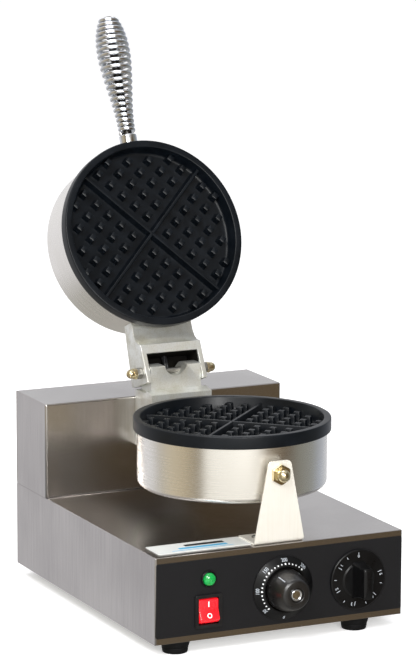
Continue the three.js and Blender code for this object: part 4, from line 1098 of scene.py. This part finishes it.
class WAFFLEBAKER_OT_bracket(bpy.types.Operator):
    """Front bracket with its screws, spacer, stud and nuts"""

    bl_idname = "wafflebaker.bracket"
    bl_label = "Front bracket"

    def execute(self, context):
        softened("front_bracket", FINISH["bar"], 0.5 * MM)
        stud_z = middle("bracket_stud")[2]
        for side in ("left", "right"):
            node = "bracket_screw_" + side
            low, high = box(node)
            at = [*((low + high) / 2)[:2], high[2] - 2.2 * MM]
            skin = screw_skin(at, Z, head=(high[0] - low[0]) / 2, rise=2.2 * MM, shank=2 * MM, length=8 * MM)
            made(node + "_turned", [skin], FINISH["steel"], "root", [node])
        self.rods(stud_z)
        self.nuts(stud_z)
        return {"FINISHED"}

    def rods(self, stud_z):
        """The stud, threaded at its front: radius + a small saw-tooth wave; and the plain spacer."""
        low, high = box("bracket_stud")
        radius = (high[0] - low[0]) / 2
        along = np.linspace(0, high[1] - low[1], 160)
        wave = 0.18 * MM * (abs((along / (1.25 * MM)) % 1 - 0.5) * 2 - 1) * (along < 16 * MM)
        profile = np.vstack([[[0, -along[-1]]], np.stack([radius + wave, -along], -1)[::-1], [[0, 0]]])
        stud = turned(profile, [0, low[1], stud_z], FORWARD, 24)
        made("bracket_stud_threaded", [stud], FINISH["steel"], "root", ["bracket_stud"], 50)
        low, high = box("bracket_spacer")
        bore, outer = 4.3 * MM, (high[0] - low[0]) / 2
        length = high[1] - low[1]
        corners = [[bore, 0], [outer, 0], [outer, length], [bore, length]]
        profile = eased(corners, 0.5 * MM, closed=True)
        tube = turned(profile, [0, high[1], stud_z], FORWARD, 48, True)
        made("bracket_spacer_turned", [tube], FINISH["steel"], "root", ["bracket_spacer"])

    def nuts(self, stud_z):
        low, high = box("bracket_hex_nut")
        hexed = nut_skin([0, high[1], stud_z], FORWARD, 17 * MM, high[1] - low[1], bore=4.3 * MM)
        made("bracket_nut", [hexed], FINISH["zinc"], "root", ["bracket_hex_nut"], 25)
        low, high = box("bracket_cap_nut")
        domed = nut_skin([0, high[1], stud_z], FORWARD, 13 * MM, high[1] - low[1], dome=6 * MM)
        made("bracket_acorn_nut", [domed], FINISH["zinc"], "root", ["bracket_cap_nut"], 25)


# ---- heated pans -----------------------------------------------------------------------------------
def pan_shell_skin():
    """A spun cup: flat floor, a rounded edge, a straight wall, and the same again inside one sheet in."""
    low, high = box("lower_shell")
    radius, edge, sheet = (high[0] - low[0]) / 2, sizes().pan_edge, 1.2 * MM
    depth = high[2] - low[2]
    arc = np.linspace(0, math.pi / 2, 9)

    def cup(r, floor, bend):
        curve = [[r - bend + bend * math.sin(a), floor + bend * (1 - math.cos(a))] for a in arc]
        return [[0, floor], *curve]

    outside = cup(radius, 0, edge)
    inside = cup(radius - sheet, sheet, edge - sheet)[::-1]
    lip = [[radius, depth - 0.3 * MM], [radius - 0.3 * MM, depth]]
    lip += [[radius - sheet + 0.3 * MM, depth], [radius - sheet, depth - 0.3 * MM]]
    profile = np.array(outside + lip + inside)
    return turned(profile, [PAN[0], PAN[1], low[2]], Z, 160)


def plate_body_skin():
    """The plate turned as one profile: hub, skirt, rim with eased edges, sloping wall and floor."""
    low, high = box("lower_grid_plate")
    size, top = sizes(), MATING_Z - GAP
    rim = (high[0] - low[0]) / 2
    cavity, floor = size.cavity_radius, top - size.cavity_depth
    under = floor - 7 * MM
    skirt = (box("lower_shell")[1][0] - box("lower_shell")[0][0]) / 2 - 2 * MM
    shoulder = box("lower_shell")[1][2] + GAP
    corners = np.array(
        [[0, under], [skirt, under], [skirt, shoulder], [rim, shoulder], [rim, top], [cavity, top],
         [cavity - 2.5 * MM, floor], [0, floor]]
    )
    reach = np.array([0, 1, 0.2, 1.2, 1.3, 1.0, 3.0, 0]) * MM
    profile = eased(corners, reach, 6)
    return turned(profile, [PAN[0], PAN[1], 0], Z, 160), floor, top


def post_places():
    """Rows and columns whose numbers add up to no more than the side's count, in all four quarters,
    turned by an eighth so that the ribs lie on the diagonals."""
    size = sizes()
    i, j = np.meshgrid(np.arange(size.posts_per_side), np.arange(size.posts_per_side))
    keep = (i + j) <= size.posts_per_side
    u, v = (size.post_first + size.post_pitch * k[keep] for k in (i, j))
    quarter = np.concatenate([np.stack([su * u, sv * v], -1) for su in (1, -1) for sv in (1, -1)])
    return quarter @ eighth()


def eighth():
    """The turn through an eighth of a circle."""
    c = math.sqrt(0.5)
    return np.array([[c, c], [-c, c]])


def post_skins(floor, top):
    """One post is a stack of rounded squares: wide and filleted at its foot, straight-sided, and eased
    over at its top. The outer posts are cut short of the wall by pulling their points inside it."""
    size = sizes()
    height = top - size.post_drop - floor
    share = np.array([-0.06, 0.0, 0.08, 0.5, 0.9, 0.975, 1.0, 1.0])
    base, tip = size.post_base / 2, size.post_tip / 2
    half = base + (tip - base) * np.clip(share, 0, 1)
    half[:2] += 0.3 * MM
    half[-2] -= 0.4 * MM
    half[-3] -= 0.1 * MM
    corner = np.full(len(share), 0.9 * MM)
    half[-1] = corner[-1] = 0
    outline = rounded_rectangle(half, half, corner, 16)
    local = outline @ eighth()
    heights = floor + share * height
    limit = size.cavity_radius - 0.6 * MM
    skins = []
    for place in post_places():
        flat = local + place
        reach = np.linalg.norm(flat, axis=-1, keepdims=True)
        flat = flat * np.minimum(1, limit / reach)
        skins.append(stacked(flat, heights, [PAN[0], PAN[1], 0]))
    return skins


def rib_skins(floor, top):
    """Two crossing ribs: a trapezium with eased edges and a flared foot, carried from wall to wall."""
    size = sizes()
    height = top - size.rib_drop - floor
    foot, tip, spread = 2.3 * MM, 1.3 * MM, 3.2 * MM
    root, knee = -0.5 * MM, 1.1 * MM
    corners = [
        [-spread, root], [spread, root], [foot, knee], [tip, height], [-tip, height], [-foot, knee]
    ]
    section = eased(corners, np.array([0.2, 0.2, 1.2, 0.45, 0.45, 1.2]) * MM, 4, closed=True)
    half = size.cavity_radius - 0.4 * MM
    skins = []
    for sign in (1, -1):
        along = np.array([1, sign]) * math.sqrt(0.5)
        across = np.array([-along[1], along[0]])
        centre = np.broadcast_to([0, height / 2], section.shape)
        rows = np.stack([centre, section, section, centre], 1)
        stations = np.array([-half, -half, half, half])
        flat = rows[..., :1] * across + stations[:, None] * along
        points = np.concatenate([flat, rows[..., 1:] + floor], -1) + [PAN[0], PAN[1], 0]
        skins.append(Skin(points, points - [PAN[0], PAN[1], 0], True, False))
    return skins


class WAFFLEBAKER_OT_pans(bpy.types.Operator):
    """Lower and upper pan shells"""

    bl_idname = "wafflebaker.pans"
    bl_label = "Pan shells"

    def execute(self, context):
        shell = pan_shell_skin()
        made("lower_pan_spun", [shell], FINISH["brushed"], "root", ["lower_shell"])
        lid = opened(mirrored(shell))
        made("upper_pan_spun", [lid], FINISH["brushed"], "lid", ["upper_shell"])
        return {"FINISHED"}


class WAFFLEBAKER_OT_plates(bpy.types.Operator):
    """Grid plates with their posts and cross ribs"""

    bl_idname = "wafflebaker.plates"
    bl_label = "Grid plates"

    def execute(self, context):
        body, floor, top = plate_body_skin()
        skins = [body, *post_skins(floor, top), *rib_skins(floor, top)]
        lug = self.lug(floor)
        made("lower_waffle_plate", [*skins, lug], FINISH["coating"], "root", ["lower_grid_plate"], 30)
        lid = [opened(mirrored(skin)) for skin in [*skins, lug]]
        made("upper_waffle_plate", lid, FINISH["coating"], "lid", ["upper_grid_plate"], 30)
        return {"FINISHED"}

    def lug(self, floor):
        """The block under the plate that takes the front stud."""
        low, _ = box("lower_grid_plate")
        front = PAN[1] - (box("lower_shell")[1][1] - box("lower_shell")[0][1]) / 2 + 3.2 * MM
        outline = rounded_rectangle(11 * MM, 8 * MM, 2 * MM, 32)
        flat = np.concatenate([outline * 0, outline * 0.97, outline, outline, outline * 0], 1)
        top = floor - 6 * MM
        heights = [low[2], low[2], low[2] + 0.5 * MM, top, top]
        return stacked(flat, heights, [PAN[0], front + 8 * MM, 0])


# ---- hinge -----------------------------------------------------------------------------------------
class WAFFLEBAKER_OT_hinge(bpy.types.Operator):
    """Hinge castings, pin, nuts and the leads that cross to the lid"""

    bl_idname = "wafflebaker.hinge"
    bl_label = "Hinge"

    def execute(self, context):
        edge = sizes().casting_edge
        softened("lower_hinge_casting", FINISH["cast"], edge * 0.6)
        softened("upper_hinge_casting", FINISH["cast"], edge * 0.6, "lid")
        # Painted shade: black sheets inside the upper casting's mouth.
        self.lining()
        self.pin()
        self.nuts()
        self.leads()
        return {"FINISHED"}

    def lining(self):
        """Painted shade inside the mouth of the upper casting: thin matt black sheets on its back wall, its
        roof and its two cheeks, where the mouth lies in shade, drawn with the lid shut."""
        half, back, front = 27.2 * MM, HINGE[1] - 16.8 * MM, HINGE[1] + 9.6 * MM
        roof, floor = HINGE[2] + 16.9 * MM, HINGE[2] - 7.6 * MM
        depth, at_y = (front - back) / 2, (front + back) / 2
        height, at_z = (roof - floor) / 2, (roof + floor) / 2
        sheets = (
            ([0, back, at_z], Y, [half, 0, height]), ([0, at_y, roof], -Z, [half, depth, 0]),
            ([-half, at_y, at_z], X, [0, depth, height]), ([half, at_y, at_z], -X, [0, depth, height]),
        )
        levels = np.array([-0.02, -0.02, 0.25, 0.25]) * MM
        spread = np.array([0.0, 1.0, 1.0, 0.0])
        skins = []
        for at, axis, size in sheets:
            first, second, _ = axes_for(axis)
            half_u, half_v = abs(first) @ size * spread, abs(second) @ size * spread
            outline = rounded_rectangle(half_u, half_v, 0, 8)
            skins.append(opened(stacked(outline, levels, at, axis)))
        made("hinge_mouth_painted_shade", skins, FINISH["painted_shade"], "lid", sharp_angle=30)

    def pin(self):
        low, high = box("hinge_pin")
        radius, length = (high[2] - low[2]) / 2, high[0] - low[0]
        corners = [[0, 0], [radius, 0], [radius, length], [0, length]]
        rod = turned(eased(corners, 0.4 * MM), [low[0], HINGE[1], HINGE[2]], X, 32)
        made("hinge_pin_ground", [rod], FINISH["steel"], "root", ["hinge_pin"])

    def nuts(self):
        for side, axis in (("left", -X), ("right", X)):
            low, high = box("hinge_hex_nut_" + side)
            seat = high[0] if side == "left" else low[0]
            plain = nut_skin([seat, HINGE[1], HINGE[2]], axis, 10 * MM, high[0] - low[0], bore=3.2 * MM)
            name = "hinge_nut_" + side
            made(name, [plain], FINISH["steel"], "root", ["hinge_hex_nut_" + side], 25)
            low, high = box("hinge_cap_nut_" + side)
            seat = high[0] if side == "left" else low[0]
            domed = nut_skin([seat, HINGE[1], HINGE[2]], axis, 10 * MM, high[0] - low[0], dome=4.6 * MM)
            name = "hinge_acorn_nut_" + side
            made(name, [domed], FINISH["zinc"], "root", ["hinge_cap_nut_" + side], 25)

    def leads(self):
        """Three sleeved leads twisted once round their common line, from the rear housing into the lid."""
        line = flowing(self.route(), 10)
        tangent = np.gradient(line, axis=0)
        tangent /= np.linalg.norm(tangent, axis=1, keepdims=True)
        up = np.cross(tangent, X)
        length = np.cumsum(np.linalg.norm(np.gradient(line, axis=0), axis=1))
        leads = []
        for k in range(3):
            angle = (FULL_TURN * k / 3 + length / length[-1] * FULL_TURN)[:, None]
            offset = 1.55 * MM * (np.cos(angle) * X + np.sin(angle) * up)
            leads.append(swept(line + offset, 1.35 * MM, X, 10))
        mesh = closed_mesh("lid_leads", leads, 60)
        piece = show(mesh, FINISH["sleeve"], None, ["lid_cable"])
        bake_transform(piece)

    def route(self):
        """The leads' line as distances behind and above the hinge pin, in millimetres."""
        steps = [
            (0, 43.2, -67.6), (-1, 37.2, -47.6), (-2, 24.2, -38.6), (-1, 14.2, -35.1), (0, 9.2, -26.6),
            (0, 8.4, -16.6), (0, 8.8, -6.6), (0, 12.2, 2.4), (0, 16.6, 9.9), (0, 22.6, 23.4),
            (0, 28.8, 37.7), (0, 33.8, 49.4),
        ]
        return HINGE + np.array(steps) * MM


# ---- handle ----------------------------------------------------------------------------------------
class WAFFLEBAKER_OT_handle(bpy.types.Operator):
    """Handle rod and its coiled-spring grip"""

    bl_idname = "wafflebaker.handle"
    bl_label = "Handle"

    def execute(self, context):
        # Shut, the handle lies along -Y from the upper pan, a little above the hinge pin.
        handle_z = HINGE[2] + 6.9 * MM
        shell_front = PAN[1] - (box("lower_shell")[1][1] - box("lower_shell")[0][1]) / 2
        tip = self.tip()
        grip_end = shell_front - 16 * MM
        self.core(shell_front, tip, grip_end, handle_z)
        self.grip(tip, grip_end, handle_z)
        return {"FINISHED"}

    def tip(self):
        """How far forward the handle reaches with the lid shut, from the hinge."""
        return HINGE[1] - 364.1 * MM

    def core(self, shell_front, tip, grip_end, z):
        """A rod with a collar next to the pan and a small head at the tip, all turned in one."""
        rod, collar, head = 4 * MM, 8.7 * MM, 4.8 * MM
        start = shell_front + 14 * MM
        collar_end, end = start - grip_end - 0.3 * MM, start - tip
        corners = np.array(
            [[0, 0], [rod, 0], [rod, 14.3 * MM], [collar, 14.3 * MM], [collar, collar_end],
             [rod - 0.2 * MM, collar_end], [rod - 0.2 * MM, collar_end - 6 * MM], [0, collar_end - 6 * MM]]
        )
        profile = eased(corners, np.array([0, 0.4, 0.3, 0.8, 1.0, 0.3, 0, 0]) * MM)
        skin = opened(turned(profile, [0, start, z], FORWARD, 64))
        made("handle_collar", [skin], FINISH["chrome"], "lid", ["handle_core"], 50)
        corners = np.array(
            [[0, collar_end - 4 * MM], [rod, collar_end - 4 * MM], [rod, end - 6 * MM],
             [head, end - 5.4 * MM], [head, end - 1 * MM], [0, end - 1 * MM]]
        )
        profile = eased(corners, np.array([0, 0.2, 0.3, 0.6, 1.4, 0]) * MM)
        skin = opened(turned(profile, [0, start, z], FORWARD, 48))
        # Painted shade: the rod is coloured near-black so the gaps between the spring's turns look shaded.
        made("handle_rod", [skin], FINISH["rod_painted_shade"], "lid", ["handle_core"], 50)

    def grip(self, tip, end, z):
        """A barrel-shaped coil. With s from 0 at the tip to 1 at the collar, the coil's radius swells by
        s^0.9 (1 - s)^2.1, and the turns lie closest at both ends: s = t - 0.19 sin(2 pi t) / (2 pi)."""
        size = sizes()
        wire, end_r, swell_r = size.wire, 8.6 * MM, 8.4 * MM
        t = np.linspace(0, 1, int(size.grip_turns * 40))
        s = t - 0.19 * np.sin(FULL_TURN * t) / FULL_TURN
        peak = 0.3**0.9 * 0.7**2.1
        radius = end_r - wire + swell_r * np.clip(s, 0, 1) ** 0.9 * np.clip(1 - s, 0, 1) ** 2.1 / peak
        angle = FULL_TURN * size.grip_turns * t
        along = tip + wire + s * (end - tip - 2 * wire)
        outward = np.stack([np.cos(angle), np.zeros_like(angle), np.sin(angle)], -1)
        path = radius[:, None] * outward
        path += np.stack([np.zeros_like(along), along, np.full_like(along, z)], -1)
        skin = opened(swept(path, wire, outward, 14, cap=0.6))
        made("handle_spring", [skin], FINISH["chrome"], "lid", ["handle_spring_grip"], 60)


# ---- stage -----------------------------------------------------------------------------------------
class WAFFLEBAKER_OT_stage(bpy.types.Operator):
    """Pale floor, soft studio light and the camera"""

    bl_idname = "wafflebaker.stage"
    bl_label = "Stage"

    def execute(self, context):
        self.floor()
        self.studio()
        self.lamps()
        self.camera()
        context.scene.view_settings.view_transform = "Standard"
        return {"FINISHED"}

    def floor(self):
        """A wide sheet of matt white paper under the feet."""
        low, _ = CAD_BOUNDS
        reach = 12.0
        angle = np.arange(64)[:, None] / 64 * FULL_TURN
        radius = np.array([0, 0.5, 2, reach])
        flat = np.stack([radius * np.cos(angle), radius * np.sin(angle)], -1)
        sheet = stacked(flat[:, ::-1], [low[2] - 0.2 * MM] * 4, [0, 0, 0])
        material = finish(
            "matt_white_paper", "#f6f6f6", "#f3f3f4", 0.9, 0.0,
            grain=(4, 4, 4), depth=0.0, spread=0.02, patch=400,
            shader={
                "Emission Color": linear("#ffffff"),
                "Emission Strength": 0.42,
                "Specular IOR Level": 0.0,
            },
        )
        mesh = closed_mesh("floor", [sheet], 30)
        piece = bpy.data.objects.new("floor", mesh)
        bpy.context.scene.collection.objects.link(piece)
        mesh.materials.append(material)
        piece.visible_glossy = False

    def studio(self):
        """The room as a soft panorama: a ramp by compass direction near the horizon, blended into an
        overhead light above and paper below. The camera sees plain white beyond the floor."""
        world = bpy.data.worlds.new("studio")
        bpy.context.scene.world = world
        world.use_nodes = True
        tree = world.node_tree
        tree.nodes.clear()
        direction = add_node(tree, "TexCoord").outputs["Generated"]
        parts = add_node(tree, "SeparateXYZ", None, {0: direction}).outputs
        back = add_node(tree, "Math", {"operation": "MULTIPLY"}, {0: parts[1], 1: -1.0})
        compass = add_node(tree, "Math", {"operation": "ARCTAN2"}, {0: parts[0], 1: back.outputs[0]})
        turn = add_node(
            tree, "MapRange", None, {"Value": compass.outputs[0], 1: -math.pi, 2: math.pi, 3: 0.0, 4: 1.0}
        )
        ramp = add_node(tree, "ValToRGB", None, {"Fac": turn.outputs[0]})
        # Degrees clockwise from straight in front, seen from above, and how bright that side is.
        sides = [
            (-180, "#f0f0f3"), (-165, "#e8e8ec"), (-140, "#dedee2"), (-125, "#bab7b1"), (-107, "#cabfa8"),
            (-85, "#bcae93"), (-70, "#8d8068"), (-63, "#6b604e"), (-58, "#fffdf6"), (6, "#fffdf6"),
            (15, "#7d6b4e"), (45, "#5c4f40"), (60, "#808078"), (88, "#90928f"), (107, "#a9b0bd"),
            (135, "#d8dade"), (180, "#f0f0f3"),
        ]
        stops = ramp.color_ramp.elements
        while len(stops) < len(sides):
            stops.new(0.5)
        for stop, (degrees, code) in zip(stops, sides):
            stop.position = (degrees + 180) / 360
            stop.color = linear(code)
        up = add_node(
            tree,
            "MapRange",
            {"interpolation_type": "SMOOTHSTEP"},
            {"Value": parts[2], 1: 0.55, 2: 0.85, 3: 0.0, 4: 1.0},
        )
        above = add_node(
            tree, "Mix", {"data_type": "RGBA"}, {0: up.outputs[0], 6: ramp.outputs[0], 7: linear("#d9dade")}
        )
        down = add_node(
            tree,
            "MapRange",
            {"interpolation_type": "SMOOTHSTEP"},
            {"Value": parts[2], 1: -0.3, 2: -0.7, 3: 0.0, 4: 1.0},
        )
        room = add_node(
            tree,
            "Mix",
            {"data_type": "RGBA"},
            {0: down.outputs[0], 6: above.outputs[2], 7: linear("#a9a7a2")},
        )
        lit = add_node(tree, "Background", None, {"Color": room.outputs[2], "Strength": 1.0})
        plain = add_node(tree, "Background", None, {"Color": linear("#ffffff"), "Strength": 1.0})
        seen = add_node(tree, "LightPath").outputs["Is Camera Ray"]
        mixed = add_node(tree, "MixShader", None, {0: seen, 1: lit.outputs[0], 2: plain.outputs[0]})
        add_node(tree, "OutputWorld", None, {"Surface": mixed.outputs[0]})

    def lamps(self):
        """A large soft key at the front left, a lower one in front and a soft light overhead."""
        for name, degrees, height, distance, size, power in (
            ("key", -40, 36, 2.2, 1.0, 34),
            ("front", -8, 16, 2.6, 0.7, 34),
            ("overhead", -160, 78, 2.0, 1.2, 14),
        ):
            data = bpy.data.lights.new(name, "AREA")
            data.energy, data.size = power, size
            lamp = bpy.data.objects.new(name, data)
            bpy.context.scene.collection.objects.link(lamp)
            a, e = math.radians(degrees), math.radians(height)
            back = np.array([math.sin(a) * math.cos(e), -math.cos(a) * math.cos(e), math.sin(e)])
            self.aim(lamp, np.array([0, 0, 0.2]), back, distance)

    def aim(self, thing, target, back, distance, roll=0.0):
        """Stands the thing off from the target along `back`, looking at it: its axes are right, up, back."""
        right = np.cross(Z, back)
        right /= np.linalg.norm(right)
        up = np.cross(back, right)
        c, s = math.cos(roll), math.sin(roll)
        place = np.eye(4)
        place[:3, 0], place[:3, 1], place[:3, 2] = c * right + s * up, -s * right + c * up, back
        place[:3, 3] = target + back * distance
        thing.matrix_world = Matrix(place.tolist())

    def camera(self):
        data = bpy.data.cameras.new("camera")
        data.lens = 176.45
        data.clip_end = 50
        camera = bpy.data.objects.new("camera", data)
        bpy.context.scene.collection.objects.link(camera)
        a, e = math.radians(-25.738), math.radians(10.911)
        back = np.array([math.sin(a) * math.cos(e), -math.cos(a) * math.cos(e), math.sin(e)])
        self.aim(camera, np.array([-0.0491, -0.12962, 0.2830]), back, 3.0, math.radians(0.198))
        bpy.context.scene.camera = camera


class WAFFLEBAKER_PT_panel(bpy.types.Panel):
    """Lists the pieces that can be built"""

    bl_label = "Waffle Baker"
    bl_space_type = "VIEW_3D"
    bl_region_type = "UI"
    bl_category = "Waffle Baker"

    def draw(self, context):
        for group in (context.scene.waffle_baker_sizes, context.scene.waffle_baker_colours):
            for name in group.__annotations__:
                self.layout.prop(group, name)
        for operator in OPERATORS:
            self.layout.operator(operator.bl_idname)


OPERATORS = (
    WAFFLEBAKER_OT_stage,
    WAFFLEBAKER_OT_sheet_metal,
    WAFFLEBAKER_OT_feet,
    WAFFLEBAKER_OT_rear,
    WAFFLEBAKER_OT_switch,
    WAFFLEBAKER_OT_lamp,
    WAFFLEBAKER_OT_thermostat,
    WAFFLEBAKER_OT_timer,
    WAFFLEBAKER_OT_bracket,
    WAFFLEBAKER_OT_pans,
    WAFFLEBAKER_OT_plates,
    WAFFLEBAKER_OT_hinge,
    WAFFLEBAKER_OT_handle,
)
CLASSES = (WaffleBakerSizes, WaffleBakerColours, *OPERATORS, WAFFLEBAKER_PT_panel)


def register():
    for kind in CLASSES:
        bpy.utils.register_class(kind)
    bpy.types.Scene.waffle_baker_sizes = bpy.props.PointerProperty(type=WaffleBakerSizes)
    bpy.types.Scene.waffle_baker_colours = bpy.props.PointerProperty(type=WaffleBakerColours)


def unregister():
    del bpy.types.Scene.waffle_baker_colours
    del bpy.types.Scene.waffle_baker_sizes
    for kind in reversed(CLASSES):
        bpy.utils.unregister_class(kind)


def main():
    register()
    FINISH.update(all_finishes(bpy.context.scene.waffle_baker_colours))
    for operator in OPERATORS:
        group, name = operator.bl_idname.split(".")
        getattr(getattr(bpy.ops, group), name)()


if __name__ == "__main__":
    main()
